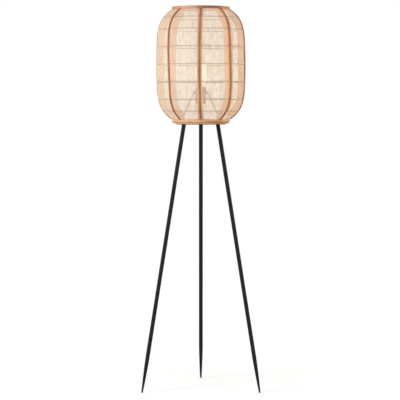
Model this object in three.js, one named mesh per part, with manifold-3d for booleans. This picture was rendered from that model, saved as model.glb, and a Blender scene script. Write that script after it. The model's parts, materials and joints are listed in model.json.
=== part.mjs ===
// Rattan floor lamp: a barrel shade of rattan, wood and gauze on three slim steel legs.
// Lengths are in millimetres, +Z is up, and the front of the lamp faces -Y.
// An azimuth is counted from the front towards +X, the lamp's right as it is drawn.

import * as THREE from "three";
import { mergeVertices } from "three/addons/utils/BufferGeometryUtils.js";
import Module from "manifold-3d";

const wasm = await Module();
wasm.setup();

// Driving dimensions of the whole lamp
const totalHeight = 1500;
const shadeHeight = 460;
const shadeRadius = 177.5;
const footCircleRadius = 264;
const legHeadCircleRadius = 76.5;

// Room left between two pieces that touch, and the overrun of a cutting tool
const seat = 0.3;
const overrun = 5;

// Sides of the round pieces
const ringSides = 40;
const legSides = 20;
const fittingSides = 24;
const smallSides = 12;

// End hoops: an outer and an inner one at each end, with the rib ends glued between them
const hoopFaceRadius = 114;
const endHoopHeight = 11;
const endHoopThickness = 4;
const ribPocket = 12;
const ribEndInset = 2;

// The barrel's curve: one long bow, and shoulders that turn in more tightly
const bowShare = 0.12;
const shoulderPower = 5.8;
const profileShares = [0, 0.159, 0.318, 0.478, 0.637, 0.747, 0.856, 0.93, 1];
const thinHoopShares = [-0.856, -0.637, -0.318, 0, 0.318, 0.637, 0.856];

// Ribs, the split strips over them, the thin hoops and the gauze cover
const ribDepth = 23;
const ribThickness = 8;
const stripWidth = 9.5;
const stripThickness = 4;
const stripPoints = 5;
const thinHoopDiameter = 3;
const thinHoopSides = 5;
const coverThickness = 0.8;

// Azimuth of each rib in degrees, as the maker's hand set them
const ribAzimuths = {
  front: -0.5,
  front_right: 42,
  right: 80,
  back_right: 135,
  back: 180,
  back_left: -135,
  left: -98,
  front_left: -45.7,
};

// Base ring under the shade: a flange with a groove above its rim and a lip below it
const baseReveal = 2;
const baseGrooveHeight = 1.4;
const baseGrooveDepth = 3;
const baseFlangeThickness = 5;
const baseLipHeight = 4;
const baseBoreRadius = 62;

// Legs: steel tube drawn to a blunt point, a plug with a threaded stud, and a foot pad
const legAzimuths = { front_left: -60, front_right: 60, rear: 180 };
const legDiameter = 16;
const legWall = 1.2;
const legTipDiameter = 6.5;
const legTaperLength = 138;
const legTaperPower = 1.4;
const legTaperPoints = 5;
const legSocketDepth = 1.8;
const plugLength = 18;
const studDiameter = 8;
const studReach = 11;
const padHeight = 5;
const padPegDiameter = 4;
const padPegLength = 8;

// Threaded bushes in the base ring, one for each leg
const bushWall = 1.8;
const bushFlangeRadius = 9.5;
const bushFlangeThickness = 2;
const bushFlangeDepth = 2;

// Spider: three wires that carry a ring for the lampholder
const spiderRise = 113;
const wireDiameter = 4;
const wireSides = 6;
const wireFootRadius = 90.5;
const wirePegLength = 5;
const wireBendHeight = 4;
const carrierRadius = 29;
const carrierThickness = 2.5;

// Lampholder
const holderRadius = 20.5;
const holderWall = 1.5;
const holderRimRise = 24;
const holderSkirtDrop = 12;
const holderFlangeWidth = 6;
const holderFlangeThickness = 2;
const holderCapHeight = 30;
const holderCapChamfer = 6;
const nutWall = 6;
const nutHeight = 7;
const coreHeight = 18;
const shellWall = 0.7;
const shellBelowRim = 4;
const contactRise = 6.5;
const contactWidth = 6;
const contactReach = 9;
const contactThickness = 0.6;
const glandRadius = 7.5;
const glandChamfer = 1.5;
const glandHeight = 12;
const nippleRadius = 5;
const nippleHeight = 6;
const cableBore = 3.4;

// Bulb: a screw cap, a tubular envelope, and the stem and filament inside it
const bulbLength = 122;
const bulbRadius = 22.5;
const bulbShoulderHeight = 58;
const bulbCapRadius = 13;
const bulbCapLength = 27;
const bulbCapWall = 0.8;
const bulbCapFloor = 9;
const tipRadius = 3.5;
const tipHeight = 2;
const insulatorRadius = 9;
const insulatorHeight = 5;
const shellStart = 7;
const neckInsert = 10;
const glassWall = 1;
const swellPoints = 6;
const domePoints = 5;
const stemFlareHeight = 6;
const stemPostRadius = 2.5;
const stemPostTop = 60;
const stemButtonRadius = 3.6;
const stemButtonHeight = 3;
const filamentDiameter = 1.4;
const filamentRadius = 12;
const filamentDrop = 15;
const filamentPoints = 7;
const filamentSides = 5;
const filamentSteps = 28;
const filamentTurnShare = 0.8;

// Sizes that follow from those above
const degrees = Math.PI / 180;
const quarterTurn = Math.PI / 2;
const shadeBottom = totalHeight - shadeHeight;
const baseTop = shadeBottom + baseLipHeight + baseFlangeThickness;
const lowerHoopBottom = baseTop + seat;
const lowerHoopEdge = lowerHoopBottom + endHoopHeight;
const upperHoopEdge = totalHeight - endHoopHeight;
const barrelMiddle = (upperHoopEdge + lowerHoopEdge) / 2;
const halfBarrel = (upperHoopEdge - lowerHoopEdge) / 2;

const outerHoopBore = hoopFaceRadius - endHoopThickness;
const innerHoopFace = outerHoopBore - ribPocket;
const innerHoopBore = innerHoopFace - endHoopThickness;
const coverRadius = shadeRadius - stripThickness - seat;
const coverEndRadius = hoopFaceRadius - endHoopThickness / 2;
const bulge = coverRadius - coverEndRadius;

// A ring with straight sides comes nearer the axis in the middle of each side than at its corners
const ringSideDrop = 1 - Math.cos(Math.PI / ringSides);
const ribCornerRise = (ribThickness / 2) ** 2 / (2 * hoopFaceRadius);
const thinHoopDepth = coverThickness + seat + thinHoopDiameter / 2;
const ribFaceDepth = coverThickness + seat + coverRadius * ringSideDrop + ribCornerRise;
const ribNotchDepth = ribFaceDepth + thinHoopDiameter + seat;
const ribNotchHalf = thinHoopDiameter / 2 + 2 * seat;
const ribEndOuter = Math.sqrt((outerHoopBore * (1 - ringSideDrop) - seat) ** 2 - (ribThickness / 2) ** 2);
const ribEndInner = innerHoopFace + seat;

const legSpread = footCircleRadius - legHeadCircleRadius;
const legLean = Math.atan2(legSpread, shadeBottom);
const legAxisLength = Math.hypot(shadeBottom, legSpread);
const legRadius = legDiameter / 2;
const legTipRadius = legTipDiameter / 2;
const legBoreRadius = legRadius - legWall;
const legTop = legAxisLength + legSocketDepth;
const studRadius = studDiameter / 2;
const padPegRadius = padPegDiameter / 2;
const bushRadius = boreFor(studRadius, smallSides) + bushWall;
const baseTopOnAxis = legAxisLength + (baseLipHeight + baseFlangeThickness) / Math.cos(legLean);
const bushFlangeSeat = baseTopOnAxis - bushFlangeDepth;

const carrierHeight = baseTop + spiderRise;
const holderRim = carrierHeight + holderRimRise;
const skirtBottom = carrierHeight - holderSkirtDrop;
const capBottom = skirtBottom - holderCapHeight;
const holderBore = holderRadius - holderWall;
const bulbBase = holderRim - bulbCapLength;
const coreTop = bulbBase - contactRise;
const neckRadius = bulbCapRadius - bulbCapWall - seat;
const bulbDomeStart = bulbLength - bulbRadius;
const stemFlareRadius = neckRadius - glassWall - seat;

// Finishes
const finishes = {
  linen: { color: "#efdcc0", roughness: 0.95, metalness: 0 },
  rattan: { color: "#a87650", roughness: 0.55, metalness: 0 },
  thinRattan: { color: "#9c7048", roughness: 0.6, metalness: 0 },
  ribWood: { color: "#d9ab7c", roughness: 0.7, metalness: 0 },
  hoopWood: { color: "#c08a5a", roughness: 0.6, metalness: 0 },
  baseWood: { color: "#d8b896", roughness: 0.7, metalness: 0 },
  blackSteel: { color: "#1c1c1d", roughness: 0.45, metalness: 0.3 },
  rubber: { color: "#161616", roughness: 0.85, metalness: 0 },
  zinc: { color: "#b3b4b6", roughness: 0.35, metalness: 1 },
  brass: { color: "#c9a45a", roughness: 0.3, metalness: 1 },
  holderPlastic: { color: "#7a4e38", roughness: 0.45, metalness: 0 },
  ceramic: { color: "#e9e6df", roughness: 0.4, metalness: 0 },
  glass: { color: "#fff1dc", roughness: 0.35, metalness: 0 },
  filament: { color: "#ffd27a", roughness: 0.5, metalness: 0 },
};

// Bore whose flats clear a shaft of the given radius at any angle of turn
function boreFor(radius, sides) {
  return (radius + seat) / Math.cos(Math.PI / sides);
}

function piece(name, finish, geometry) {
  const mesh = new THREE.Mesh(geometry, new THREE.MeshStandardMaterial(finishes[finish]));
  mesh.name = name;
  return mesh;
}

// Solid of revolution about Z from [radius, height] points, anticlockwise in the half plane.
// A profile that doesn't start on the axis closes on itself.
function revolve(points, sides) {
  const profile = points.map(([radius, height]) => new THREE.Vector2(radius, height));
  if (points[0][0] > 0) {
    profile.push(profile[0].clone());
  }
  return new THREE.LatheGeometry(profile, sides).rotateX(quarterTurn);
}

function ring(inner, outer, bottom, top, sides) {
  return revolve([[inner, bottom], [outer, bottom], [outer, top], [inner, top]], sides);
}

// Closed skin through rings of equal length, each an array of points, with flat ends
function loft(rings) {
  const count = rings[0].length;
  const indices = [];
  for (let r = 0; r + 1 < rings.length; r += 1) {
    for (let k = 0; k < count; k += 1) {
      const here = r * count + k;
      const next = r * count + ((k + 1) % count);
      indices.push(here, next, next + count);
      indices.push(here, next + count, here + count);
    }
  }
  const last = (rings.length - 1) * count;
  for (let k = 1; k + 1 < count; k += 1) {
    indices.push(0, k + 1, k);
    indices.push(last, last + k, last + k + 1);
  }
  const geometry = new THREE.BufferGeometry().setFromPoints(rings.flat());
  geometry.setIndex(indices);
  return geometry;
}

// Plate of an outline drawn in the radius and height plane, centred across its thickness
function plate(points, thickness) {
  const shape = new THREE.Shape(points.map(([radius, height]) => new THREE.Vector2(radius, height)));
  const geometry = new THREE.ExtrudeGeometry(shape, { depth: thickness, bevelEnabled: false });
  return geometry.translate(0, 0, -thickness / 2).rotateX(quarterTurn);
}

// Turn about Z that takes +X to an azimuth
function azimuthTurn(azimuth) {
  return azimuth * degrees - quarterTurn;
}

function solid(geometry) {
  const bare = geometry.clone();
  bare.deleteAttribute("normal");
  bare.deleteAttribute("uv");
  const merged = mergeVertices(bare);
  const index = merged.index.array;
  const triangles = [];
  for (let k = 0; k < index.length; k += 3) {
    const [a, b, c] = index.slice(k, k + 3);
    if (a !== b && b !== c && c !== a) {
      triangles.push(a, b, c);
    }
  }
  return new wasm.Manifold(new wasm.Mesh({
    numProp: 3,
    vertProperties: Float32Array.from(merged.attributes.position.array),
    triVerts: Uint32Array.from(triangles),
  }));
}

function fromSolid(manifold) {
  const { vertProperties, triVerts } = manifold.getMesh();
  const geometry = new THREE.BufferGeometry();
  geometry.setAttribute("position", new THREE.BufferAttribute(vertProperties, 3));
  geometry.setIndex(new THREE.BufferAttribute(triVerts, 1));
  return geometry;
}

// The barrel's curve
// A share is 0 at the waist, 1 at the upper hoop's edge and -1 at the lower hoop's edge.
// A depth is counted square to the cover's outer face, inwards.
function barrelPoint(share, depth) {
  const rise = Math.abs(share);
  const turned = 1 - bowShare;
  const swell = 1 - bowShare * rise ** 2 - turned * rise ** shoulderPower;
  const steepness = 2 * bowShare * rise + turned * shoulderPower * rise ** (shoulderPower - 1);
  const slope = (steepness * bulge) / halfBarrel;
  const length = Math.hypot(1, slope);
  const radius = coverEndRadius + bulge * swell - depth / length;
  const offset = halfBarrel * rise - (depth * slope) / length;
  return { radius, offset, slope, side: Math.sign(share) };
}

// The same point, slid along the curve to the hoop's edge where the share is 1 or -1
function barrelStation(share, depth) {
  const point = barrelPoint(share, depth);
  if (Math.abs(share) === 1) {
    const slide = halfBarrel - seat - point.offset;
    point.radius -= slide * point.slope;
    point.offset += slide;
  }
  return [point.radius, barrelMiddle + point.side * point.offset];
}

const risingShares = [...profileShares.slice(1).reverse().map((share) => -share), ...profileShares];

function cover() {
  const outside = risingShares.map((share) => barrelStation(share, 0));
  const inside = risingShares.map((share) => barrelStation(share, coverThickness));
  return revolve([...outside, ...inside.reverse()], ringSides);
}

function ribPoint([share, depth]) {
  const { radius, offset, side } = barrelPoint(share, depth);
  return [radius, barrelMiddle + side * offset];
}

// Outer edge of a rib: close under the cover, with a notch where each thin hoop crosses it
function ribFace() {
  const half = ribNotchHalf / halfBarrel;
  const notch = (share) => [
    [share - half, ribFaceDepth],
    [share - half, ribNotchDepth],
    [share + half, ribNotchDepth],
    [share + half, ribFaceDepth],
  ];
  const stations = risingShares.flatMap((share) =>
    thinHoopShares.includes(share) ? notch(share) : [[share, ribFaceDepth]]);
  return stations.map(ribPoint);
}

function rib() {
  const face = ribFace();
  const inward = risingShares.filter((share) => Math.abs(share) < 1);
  const back = inward.map((share) => ribPoint([share, ribFaceDepth + ribDepth]));
  return plate([
    [ribEndInner, lowerHoopBottom],
    [ribEndOuter, lowerHoopBottom],
    [ribEndOuter, lowerHoopEdge + seat],
    ...face,
    [ribEndOuter, upperHoopEdge - seat],
    [ribEndOuter, totalHeight - ribEndInset],
    [ribEndInner, totalHeight - ribEndInset],
    [ribEndInner, upperHoopEdge - seat],
    ...back.reverse(),
    [ribEndInner, lowerHoopEdge + seat],
  ], ribThickness);
}

// Half-round strip, cut off flush against the edge of each end hoop
function strip() {
  const rings = risingShares.map((share) => {
    const section = [];
    for (let k = 0; k < stripPoints; k += 1) {
      const turn = (Math.PI * k) / (stripPoints - 1);
      const [radius, height] = barrelStation(share, -seat - stripThickness * Math.sin(turn));
      section.push(new THREE.Vector3(radius, (stripWidth / 2) * Math.cos(turn), height));
    }
    return section.reverse();
  });
  return loft(rings);
}

function thinHoop(share) {
  const { radius, offset, side } = barrelPoint(share, thinHoopDepth);
  const hoop = new THREE.TorusGeometry(radius, thinHoopDiameter / 2, thinHoopSides, ringSides);
  return hoop.translate(0, 0, barrelMiddle + side * offset);
}

function buildShade() {
  const shade = new THREE.Group();
  const outerHoop = (bottom) =>
    ring(outerHoopBore, hoopFaceRadius, bottom, bottom + endHoopHeight, ringSides);
  const innerHoop = (bottom) =>
    ring(innerHoopBore, innerHoopFace, bottom, bottom + endHoopHeight, ringSides);
  shade.add(
    piece("top_hoop_outer", "hoopWood", outerHoop(upperHoopEdge)),
    piece("top_hoop_inner", "hoopWood", innerHoop(upperHoopEdge)),
    piece("bottom_hoop_outer", "hoopWood", outerHoop(lowerHoopBottom)),
    piece("bottom_hoop_inner", "hoopWood", innerHoop(lowerHoopBottom)),
    piece("linen_cover", "linen", cover()),
  );
  for (const [place, azimuth] of Object.entries(ribAzimuths)) {
    const turned = new THREE.Group();
    turned.rotation.z = azimuthTurn(azimuth);
    turned.add(piece(`rib_${place}`, "ribWood", rib()));
    turned.add(piece(`rib_strip_${place}`, "rattan", strip()));
    shade.add(turned);
  }
  thinHoopShares.forEach((share, k) => {
    shade.add(piece(`thin_hoop_${k + 1}`, "thinRattan", thinHoop(share)));
  });
  return shade;
}

// A leg's own frame has its origin where the leg's axis meets the floor, and +Z along the leg
function legFrame(azimuth) {
  return new THREE.Matrix4()
    .makeRotationZ(azimuthTurn(azimuth))
    .multiply(new THREE.Matrix4().makeTranslation(footCircleRadius, 0, 0))
    .multiply(new THREE.Matrix4().makeRotationY(-legLean));
}

function legRadiusAt(height) {
  const left = Math.max(0, 1 - height / legTaperLength);
  return legTipRadius + (legRadius - legTipRadius) * (1 - left ** legTaperPower);
}

function legTube() {
  const bottom = padHeight + seat;
  const pegBore = boreFor(padPegRadius, smallSides);
  const pegBoreTop = bottom + padPegLength + seat;
  const outside = [];
  for (let k = 0; k <= legTaperPoints; k += 1) {
    const height = bottom + ((legTaperLength - bottom) * k) / legTaperPoints;
    outside.push([legRadiusAt(height), height]);
  }
  return revolve([
    ...outside,
    [legRadius, legTop],
    [legBoreRadius, legTop],
    [legBoreRadius, legTaperLength + legDiameter],
    [pegBore, pegBoreTop],
    [pegBore, bottom],
  ], legSides);
}

function legStud() {
  const plugRadius = legBoreRadius - seat;
  return revolve([
    [0, legTop - plugLength],
    [plugRadius, legTop - plugLength],
    [plugRadius, legTop],
    [studRadius, legTop],
    [studRadius, legAxisLength + studReach],
    [0, legAxisLength + studReach],
  ], legSides);
}

// The pad is cut level with the floor
function footPad(frame) {
  const pegTop = padHeight + padPegLength;
  const blank = revolve([
    [0, -overrun],
    [legTipRadius, -overrun],
    [legTipRadius, 0],
    [legRadiusAt(padHeight), padHeight],
    [padPegRadius, padHeight],
    [padPegRadius, pegTop],
    [0, pegTop],
  ], smallSides).applyMatrix4(frame);
  const side = 2 * (footCircleRadius + overrun);
  const ground = new THREE.BoxGeometry(side, side, 2 * overrun).translate(0, 0, -overrun);
  const cut = fromSolid(solid(blank).subtract(solid(ground)));
  return cut.applyMatrix4(frame.clone().invert());
}

// Steel bush with a flange that sits square to the leg in the ring's top face
function legBush() {
  const bore = boreFor(studRadius, smallSides);
  const bottom = legTop + seat;
  const flangeBottom = bushFlangeSeat + seat;
  return revolve([
    [bore, bottom],
    [bushRadius, bottom],
    [bushRadius, flangeBottom],
    [bushFlangeRadius, flangeBottom],
    [bushFlangeRadius, flangeBottom + bushFlangeThickness],
    [bore, flangeBottom + bushFlangeThickness],
  ], smallSides);
}

// Stepped tool for a leg's hole in the base ring: tube socket, bush hole and flange recess
function legHoleTool() {
  const socket = boreFor(legRadius, legSides);
  const hole = boreFor(bushRadius, legSides);
  const recess = boreFor(bushFlangeRadius, legSides);
  const socketTop = legTop + seat;
  const toolTop = baseTopOnAxis + overrun;
  return revolve([
    [0, legAxisLength - overrun],
    [socket, legAxisLength - overrun],
    [socket, socketTop],
    [hole, socketTop],
    [hole, bushFlangeSeat],
    [recess, bushFlangeSeat],
    [recess, toolTop],
    [0, toolTop],
  ], legSides);
}

function baseRing() {
  const flangeRadius = hoopFaceRadius - baseReveal;
  const flangeBottom = shadeBottom + baseLipHeight;
  const grooveRadius = flangeRadius - baseGrooveDepth;
  const grooveBottom = baseTop - baseGrooveHeight;
  let body = solid(revolve([
    [baseBoreRadius, shadeBottom],
    [innerHoopFace, shadeBottom],
    [innerHoopFace, flangeBottom],
    [flangeRadius, flangeBottom],
    [flangeRadius, grooveBottom],
    [grooveRadius, grooveBottom],
    [grooveRadius, baseTop],
    [baseBoreRadius, baseTop],
  ], ringSides));
  const pegHole = boreFor(wireDiameter / 2, smallSides);
  const pegHoleTool = revolve([
    [0, baseTop - wirePegLength - seat],
    [pegHole, baseTop - wirePegLength - seat],
    [pegHole, baseTop + overrun],
    [0, baseTop + overrun],
  ], smallSides).translate(wireFootRadius, 0, 0);
  for (const azimuth of Object.values(legAzimuths)) {
    const legHole = solid(legHoleTool().applyMatrix4(legFrame(azimuth)));
    const wireHole = solid(pegHoleTool.clone().rotateZ(azimuthTurn(azimuth)));
    body = body.subtract(legHole).subtract(wireHole);
  }
  return fromSolid(body);
}

function buildBase() {
  const base = new THREE.Group();
  base.add(piece("base_ring", "baseWood", baseRing()));
  for (const [place, azimuth] of Object.entries(legAzimuths)) {
    const frame = legFrame(azimuth);
    const leg = new THREE.Group();
    leg.add(piece(`leg_${place}_tube`, "blackSteel", legTube()));
    leg.add(piece(`leg_${place}_stud`, "zinc", legStud()));
    leg.add(piece(`leg_${place}_pad`, "rubber", footPad(frame)));
    leg.add(piece(`leg_${place}_bush`, "zinc", legBush()));
    leg.applyMatrix4(frame);
    base.add(leg);
  }
  return base;
}

// Bent wire: an upright peg in the base ring, then a straight arm up to the carrier ring
function spiderWire() {
  const radius = wireDiameter / 2;
  const armEnd = [carrierRadius + seat + radius, carrierHeight + carrierThickness / 2];
  const path = [
    [wireFootRadius, baseTop - wirePegLength],
    [wireFootRadius, baseTop + wireBendHeight],
    armEnd,
  ];
  const rings = path.map(([x, z], k) => {
    const [ax, az] = path[Math.max(0, k - 1)];
    const [bx, bz] = path[Math.min(path.length - 1, k + 1)];
    const before = new THREE.Vector2(x - ax, z - az).normalize();
    const after = new THREE.Vector2(bx - x, bz - z).normalize();
    const along = before.clone().add(after).normalize();
    const stretch = 1 / Math.max(along.dot(before), along.dot(after));
    const section = [];
    for (let side = 0; side < wireSides; side += 1) {
      const turn = (2 * Math.PI * side) / wireSides;
      const across = radius * Math.cos(turn) * stretch;
      section.push(new THREE.Vector3(x + across * along.y, radius * Math.sin(turn), z - across * along.x));
    }
    return section;
  });
  return loft(rings);
}

function holderSkirt() {
  const flangeTop = carrierHeight - seat;
  const flangeRadius = holderRadius + holderFlangeWidth;
  return revolve([
    [holderBore, skirtBottom],
    [holderRadius, skirtBottom],
    [holderRadius, flangeTop - holderFlangeThickness],
    [flangeRadius, flangeTop - holderFlangeThickness],
    [flangeRadius, flangeTop],
    [holderRadius, flangeTop],
    [holderRadius, holderRim],
    [holderBore, holderRim],
  ], fittingSides);
}

function holderCap() {
  const hole = boreFor(nippleRadius, fittingSides);
  const top = skirtBottom - seat;
  const shoulder = holderRadius - holderCapChamfer;
  return revolve([
    [hole, capBottom],
    [shoulder, capBottom],
    [holderRadius, capBottom + holderCapChamfer],
    [holderRadius, top],
    [holderBore, top],
    [holderBore, capBottom + holderCapChamfer + holderWall],
    [shoulder, capBottom + holderWall],
    [hole, capBottom + holderWall],
  ], fittingSides);
}

function cableGland() {
  const top = capBottom - seat;
  const bottom = top - glandHeight;
  return revolve([
    [cableBore, bottom],
    [glandRadius - glandChamfer, bottom],
    [glandRadius, bottom + glandChamfer],
    [glandRadius, top],
    [nippleRadius, top],
    [nippleRadius, top + nippleHeight],
    [cableBore, top + nippleHeight],
  ], fittingSides);
}

// Leaf contact: a foot on the core, and a tongue bent up under the bulb's tip
function centreContact() {
  const foot = coreTop + seat;
  const top = bulbBase - seat;
  const outline = [
    [-contactReach, foot],
    [-contactReach / 2, foot],
    [0, top - contactThickness],
    [contactReach / 2, top - contactThickness],
    [contactReach / 2, top],
    [-contactThickness, top],
    [-contactReach / 2 - contactThickness, foot + contactThickness],
    [-contactReach, foot + contactThickness],
  ];
  return plate(outline, contactWidth);
}

function buildHolder() {
  const holder = new THREE.Group();
  for (const [place, azimuth] of Object.entries(legAzimuths)) {
    const turned = new THREE.Group();
    turned.rotation.z = azimuthTurn(azimuth);
    turned.add(piece(`spider_wire_${place}`, "blackSteel", spiderWire()));
    holder.add(turned);
  }
  const carrierTop = carrierHeight + carrierThickness;
  const collarBore = boreFor(holderRadius, fittingSides);
  const nutBottom = carrierTop + seat;
  const shellBore = boreFor(bulbCapRadius, fittingSides);
  const shellBottom = coreTop + seat;
  const shellTop = holderRim - shellBelowRim;
  const carrier = ring(collarBore, carrierRadius, carrierHeight, carrierTop, fittingSides);
  const nut = ring(collarBore, holderRadius + nutWall, nutBottom, nutBottom + nutHeight, fittingSides);
  const core = revolve([
    [0, coreTop - coreHeight],
    [holderBore - seat, coreTop - coreHeight],
    [holderBore - seat, coreTop],
    [0, coreTop],
  ], fittingSides);
  const shell = ring(shellBore, shellBore + shellWall, shellBottom, shellTop, fittingSides);
  holder.add(
    piece("spider_ring", "blackSteel", carrier),
    piece("holder_skirt", "holderPlastic", holderSkirt()),
    piece("holder_cap", "holderPlastic", holderCap()),
    piece("holder_ring_nut", "holderPlastic", nut),
    piece("holder_core", "ceramic", core),
    piece("holder_screw_shell", "brass", shell),
    piece("holder_contact", "brass", centreContact()),
    piece("cable_gland", "holderPlastic", cableGland()),
  );
  return holder;
}

function bulbCap() {
  const inner = bulbCapRadius - bulbCapWall;
  return revolve([
    [0, 0],
    [tipRadius, 0],
    [tipRadius, tipHeight],
    [insulatorRadius, insulatorHeight],
    [bulbCapRadius, shellStart],
    [bulbCapRadius, bulbCapLength],
    [inner, bulbCapLength],
    [inner, bulbCapFloor],
    [0, bulbCapFloor],
  ], fittingSides);
}

// Half the envelope's outline: a neck that swells on a half cosine, a straight side, then a round dome
function envelope(inset) {
  const neck = neckRadius - inset;
  const widest = bulbRadius - inset;
  const start = bulbCapLength + seat;
  const points = [[neck, bulbCapLength - neckInsert], [neck, start]];
  for (let k = 1; k <= swellPoints; k += 1) {
    const share = k / swellPoints;
    const swell = (1 - Math.cos(Math.PI * share)) / 2;
    points.push([neck + (widest - neck) * swell, start + (bulbShoulderHeight - start) * share]);
  }
  points.push([widest, bulbDomeStart]);
  for (let k = 1; k <= domePoints; k += 1) {
    const turn = (quarterTurn * k) / domePoints;
    const radius = k < domePoints ? widest * Math.cos(turn) : 0;
    points.push([radius, bulbDomeStart + widest * Math.sin(turn)]);
  }
  return points;
}

function bulbGlass() {
  const profile = [...envelope(glassWall).reverse(), ...envelope(0)];
  return revolve(profile, fittingSides);
}

function bulbStem() {
  const bottom = bulbCapLength - neckInsert;
  return revolve([
    [0, bottom],
    [stemFlareRadius, bottom],
    [stemPostRadius, bottom + stemFlareHeight],
    [stemPostRadius, stemPostTop],
    [stemButtonRadius, stemPostTop],
    [stemButtonRadius, stemPostTop + stemButtonHeight],
    [0, stemPostTop + stemButtonHeight],
  ], fittingSides);
}

// One wire: up from the stem's button, most of a turn inside the envelope, and back
function filament() {
  const foot = stemPostTop + stemButtonHeight + seat;
  const start = Math.PI * (1 - filamentTurnShare);
  const arc = 2 * Math.PI * filamentTurnShare;
  const around = (turn, radius, height) =>
    new THREE.Vector3(radius * Math.cos(turn), radius * Math.sin(turn), height);
  const footRadius = stemButtonRadius - filamentDiameter;
  const height = bulbDomeStart - filamentDrop;
  const points = [around(start, footRadius, foot)];
  for (let k = 0; k < filamentPoints; k += 1) {
    points.push(around(start + (arc * k) / (filamentPoints - 1), filamentRadius, height));
  }
  points.push(around(start + arc, footRadius, foot));
  const circle = new THREE.Shape().absarc(0, 0, filamentDiameter / 2, 0, 2 * Math.PI);
  return new THREE.ExtrudeGeometry(circle, {
    steps: filamentSteps,
    curveSegments: filamentSides,
    bevelEnabled: false,
    extrudePath: new THREE.CatmullRomCurve3(points),
  });
}

function buildBulb() {
  const bulb = new THREE.Group();
  bulb.position.z = bulbBase;
  bulb.add(
    piece("bulb_cap", "brass", bulbCap()),
    piece("bulb_glass", "glass", bulbGlass()),
    piece("bulb_stem", "glass", bulbStem()),
    piece("bulb_filament", "filament", filament()),
  );
  return bulb;
}

// The origin lies on the floor, under the middle of the lamp's outline
const lamp = new THREE.Group();
lamp.add(buildShade(), buildBase(), buildHolder(), buildBulb());
const middle = new THREE.Box3().setFromObject(lamp, true).getCenter(new THREE.Vector3());
lamp.position.set(-middle.x, -middle.y, 0);

export default lamp;
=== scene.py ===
# %% [markdown]
# # A rattan floor lamp
#
# A barrel shade of open gauze stands on three slim steel legs. The gauze is stretched over bent
# wooden ribs and thin rattan hoops, half-round strips of rattan run down over the ribs, and a
# bulb glows behind it all. The measured model of the lamp gives every place and size. This
# lesson takes one piece or finish at a time, says what it is on the real lamp and how it could
# be made, and then makes it.

# %% Load the measured model
import json
import math
import random

import bmesh
import bpy
from mathutils import Matrix, Vector

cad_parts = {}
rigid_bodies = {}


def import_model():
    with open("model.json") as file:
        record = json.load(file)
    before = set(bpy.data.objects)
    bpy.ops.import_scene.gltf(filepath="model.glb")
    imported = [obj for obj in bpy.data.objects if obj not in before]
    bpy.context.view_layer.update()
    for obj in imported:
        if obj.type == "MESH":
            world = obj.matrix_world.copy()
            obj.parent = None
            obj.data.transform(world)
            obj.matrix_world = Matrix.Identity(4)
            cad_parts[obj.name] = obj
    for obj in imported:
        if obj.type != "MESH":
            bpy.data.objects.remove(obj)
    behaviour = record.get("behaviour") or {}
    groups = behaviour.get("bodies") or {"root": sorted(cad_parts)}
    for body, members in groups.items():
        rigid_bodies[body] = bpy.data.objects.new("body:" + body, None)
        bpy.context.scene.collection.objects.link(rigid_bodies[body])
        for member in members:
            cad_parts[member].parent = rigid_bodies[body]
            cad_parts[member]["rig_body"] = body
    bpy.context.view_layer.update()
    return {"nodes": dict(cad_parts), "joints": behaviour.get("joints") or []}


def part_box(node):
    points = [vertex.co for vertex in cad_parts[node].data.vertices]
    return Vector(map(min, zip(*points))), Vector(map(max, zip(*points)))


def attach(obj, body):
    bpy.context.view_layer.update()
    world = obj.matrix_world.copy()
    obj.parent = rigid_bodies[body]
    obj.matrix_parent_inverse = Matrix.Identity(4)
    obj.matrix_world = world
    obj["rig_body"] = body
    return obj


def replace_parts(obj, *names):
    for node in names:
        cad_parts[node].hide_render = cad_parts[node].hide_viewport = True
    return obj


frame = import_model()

nodes = frame["nodes"]

# %% [markdown]
# ## Camera
#
# The lamp was photographed from the front with a long lens, a little over a metre above the
# floor and tipped slightly down. The distance and the tilt follow from how the round hoops
# flatten and from where the rear foot lies above the front ones. A camera of the same focal
# length, set at that place, gives the same picture, so no shift or crop is needed.

# %% The camera
low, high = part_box("top_hoop_outer")
axis_x, axis_y = (low.x + high.x) / 2, (low.y + high.y) / 2

picture_side = 400
focal_in_pixels = 1831.4
camera_distance = 7.199
camera_height = 1.0959
camera_tilt_down = 0.049
camera_side_step = -0.0035
film_side = 36


def put_in_scene(name, data):
    """A new object that holds the data, linked to the scene."""
    made = bpy.data.objects.new(name, data)
    bpy.context.scene.collection.objects.link(made)
    return made


def add_camera():
    data = bpy.data.cameras.new("camera")
    data.sensor_width = film_side
    data.lens = film_side * focal_in_pixels / picture_side
    camera = put_in_scene("camera", data)
    camera.location = (axis_x + camera_side_step, axis_y - camera_distance, camera_height)
    camera.rotation_euler = (math.pi / 2 - camera_tilt_down, 0, 0)
    bpy.context.scene.camera = camera
    return camera


camera = add_camera()
print("lamp axis at", round(axis_x, 4), round(axis_y, 4), "lens", round(camera.data.lens, 1))

# %% [markdown]
# ## Small helpers for shader nodes
#
# Every finish below is a node tree. Naming the nodes one by one makes a long script, so one
# helper adds a node, sets its options and links or fills its inputs. The others cover what
# appears most often: a sum, a mix of two colours, a range, a noise, and a vector's parts.

# %% Node helpers
mix_first = 6
mix_second = 7
mix_result = 2


def connect(node, inputs):
    """Links each input of a node to a socket, or fills it with a value."""
    for key, value in inputs.items():
        if isinstance(value, bpy.types.NodeSocket):
            node.id_data.links.new(value, node.inputs[key])
        else:
            node.inputs[key].default_value = value
    return node


def fill(node, **inputs):
    """Connects inputs given by name, with a space written as an underscore."""
    return connect(node, {name.replace("_", " "): value for name, value in inputs.items()})


def add(tree, kind, inputs=None, **options):
    """A new node with its options set and its inputs connected."""
    made = tree.nodes.new(kind)
    for name, value in options.items():
        setattr(made, name, value)
    return connect(made, inputs or {})


def reckon(tree, operation, *values):
    """The result of a Math node."""
    return add(tree, "ShaderNodeMath", dict(enumerate(values)), operation=operation).outputs[0]


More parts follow.
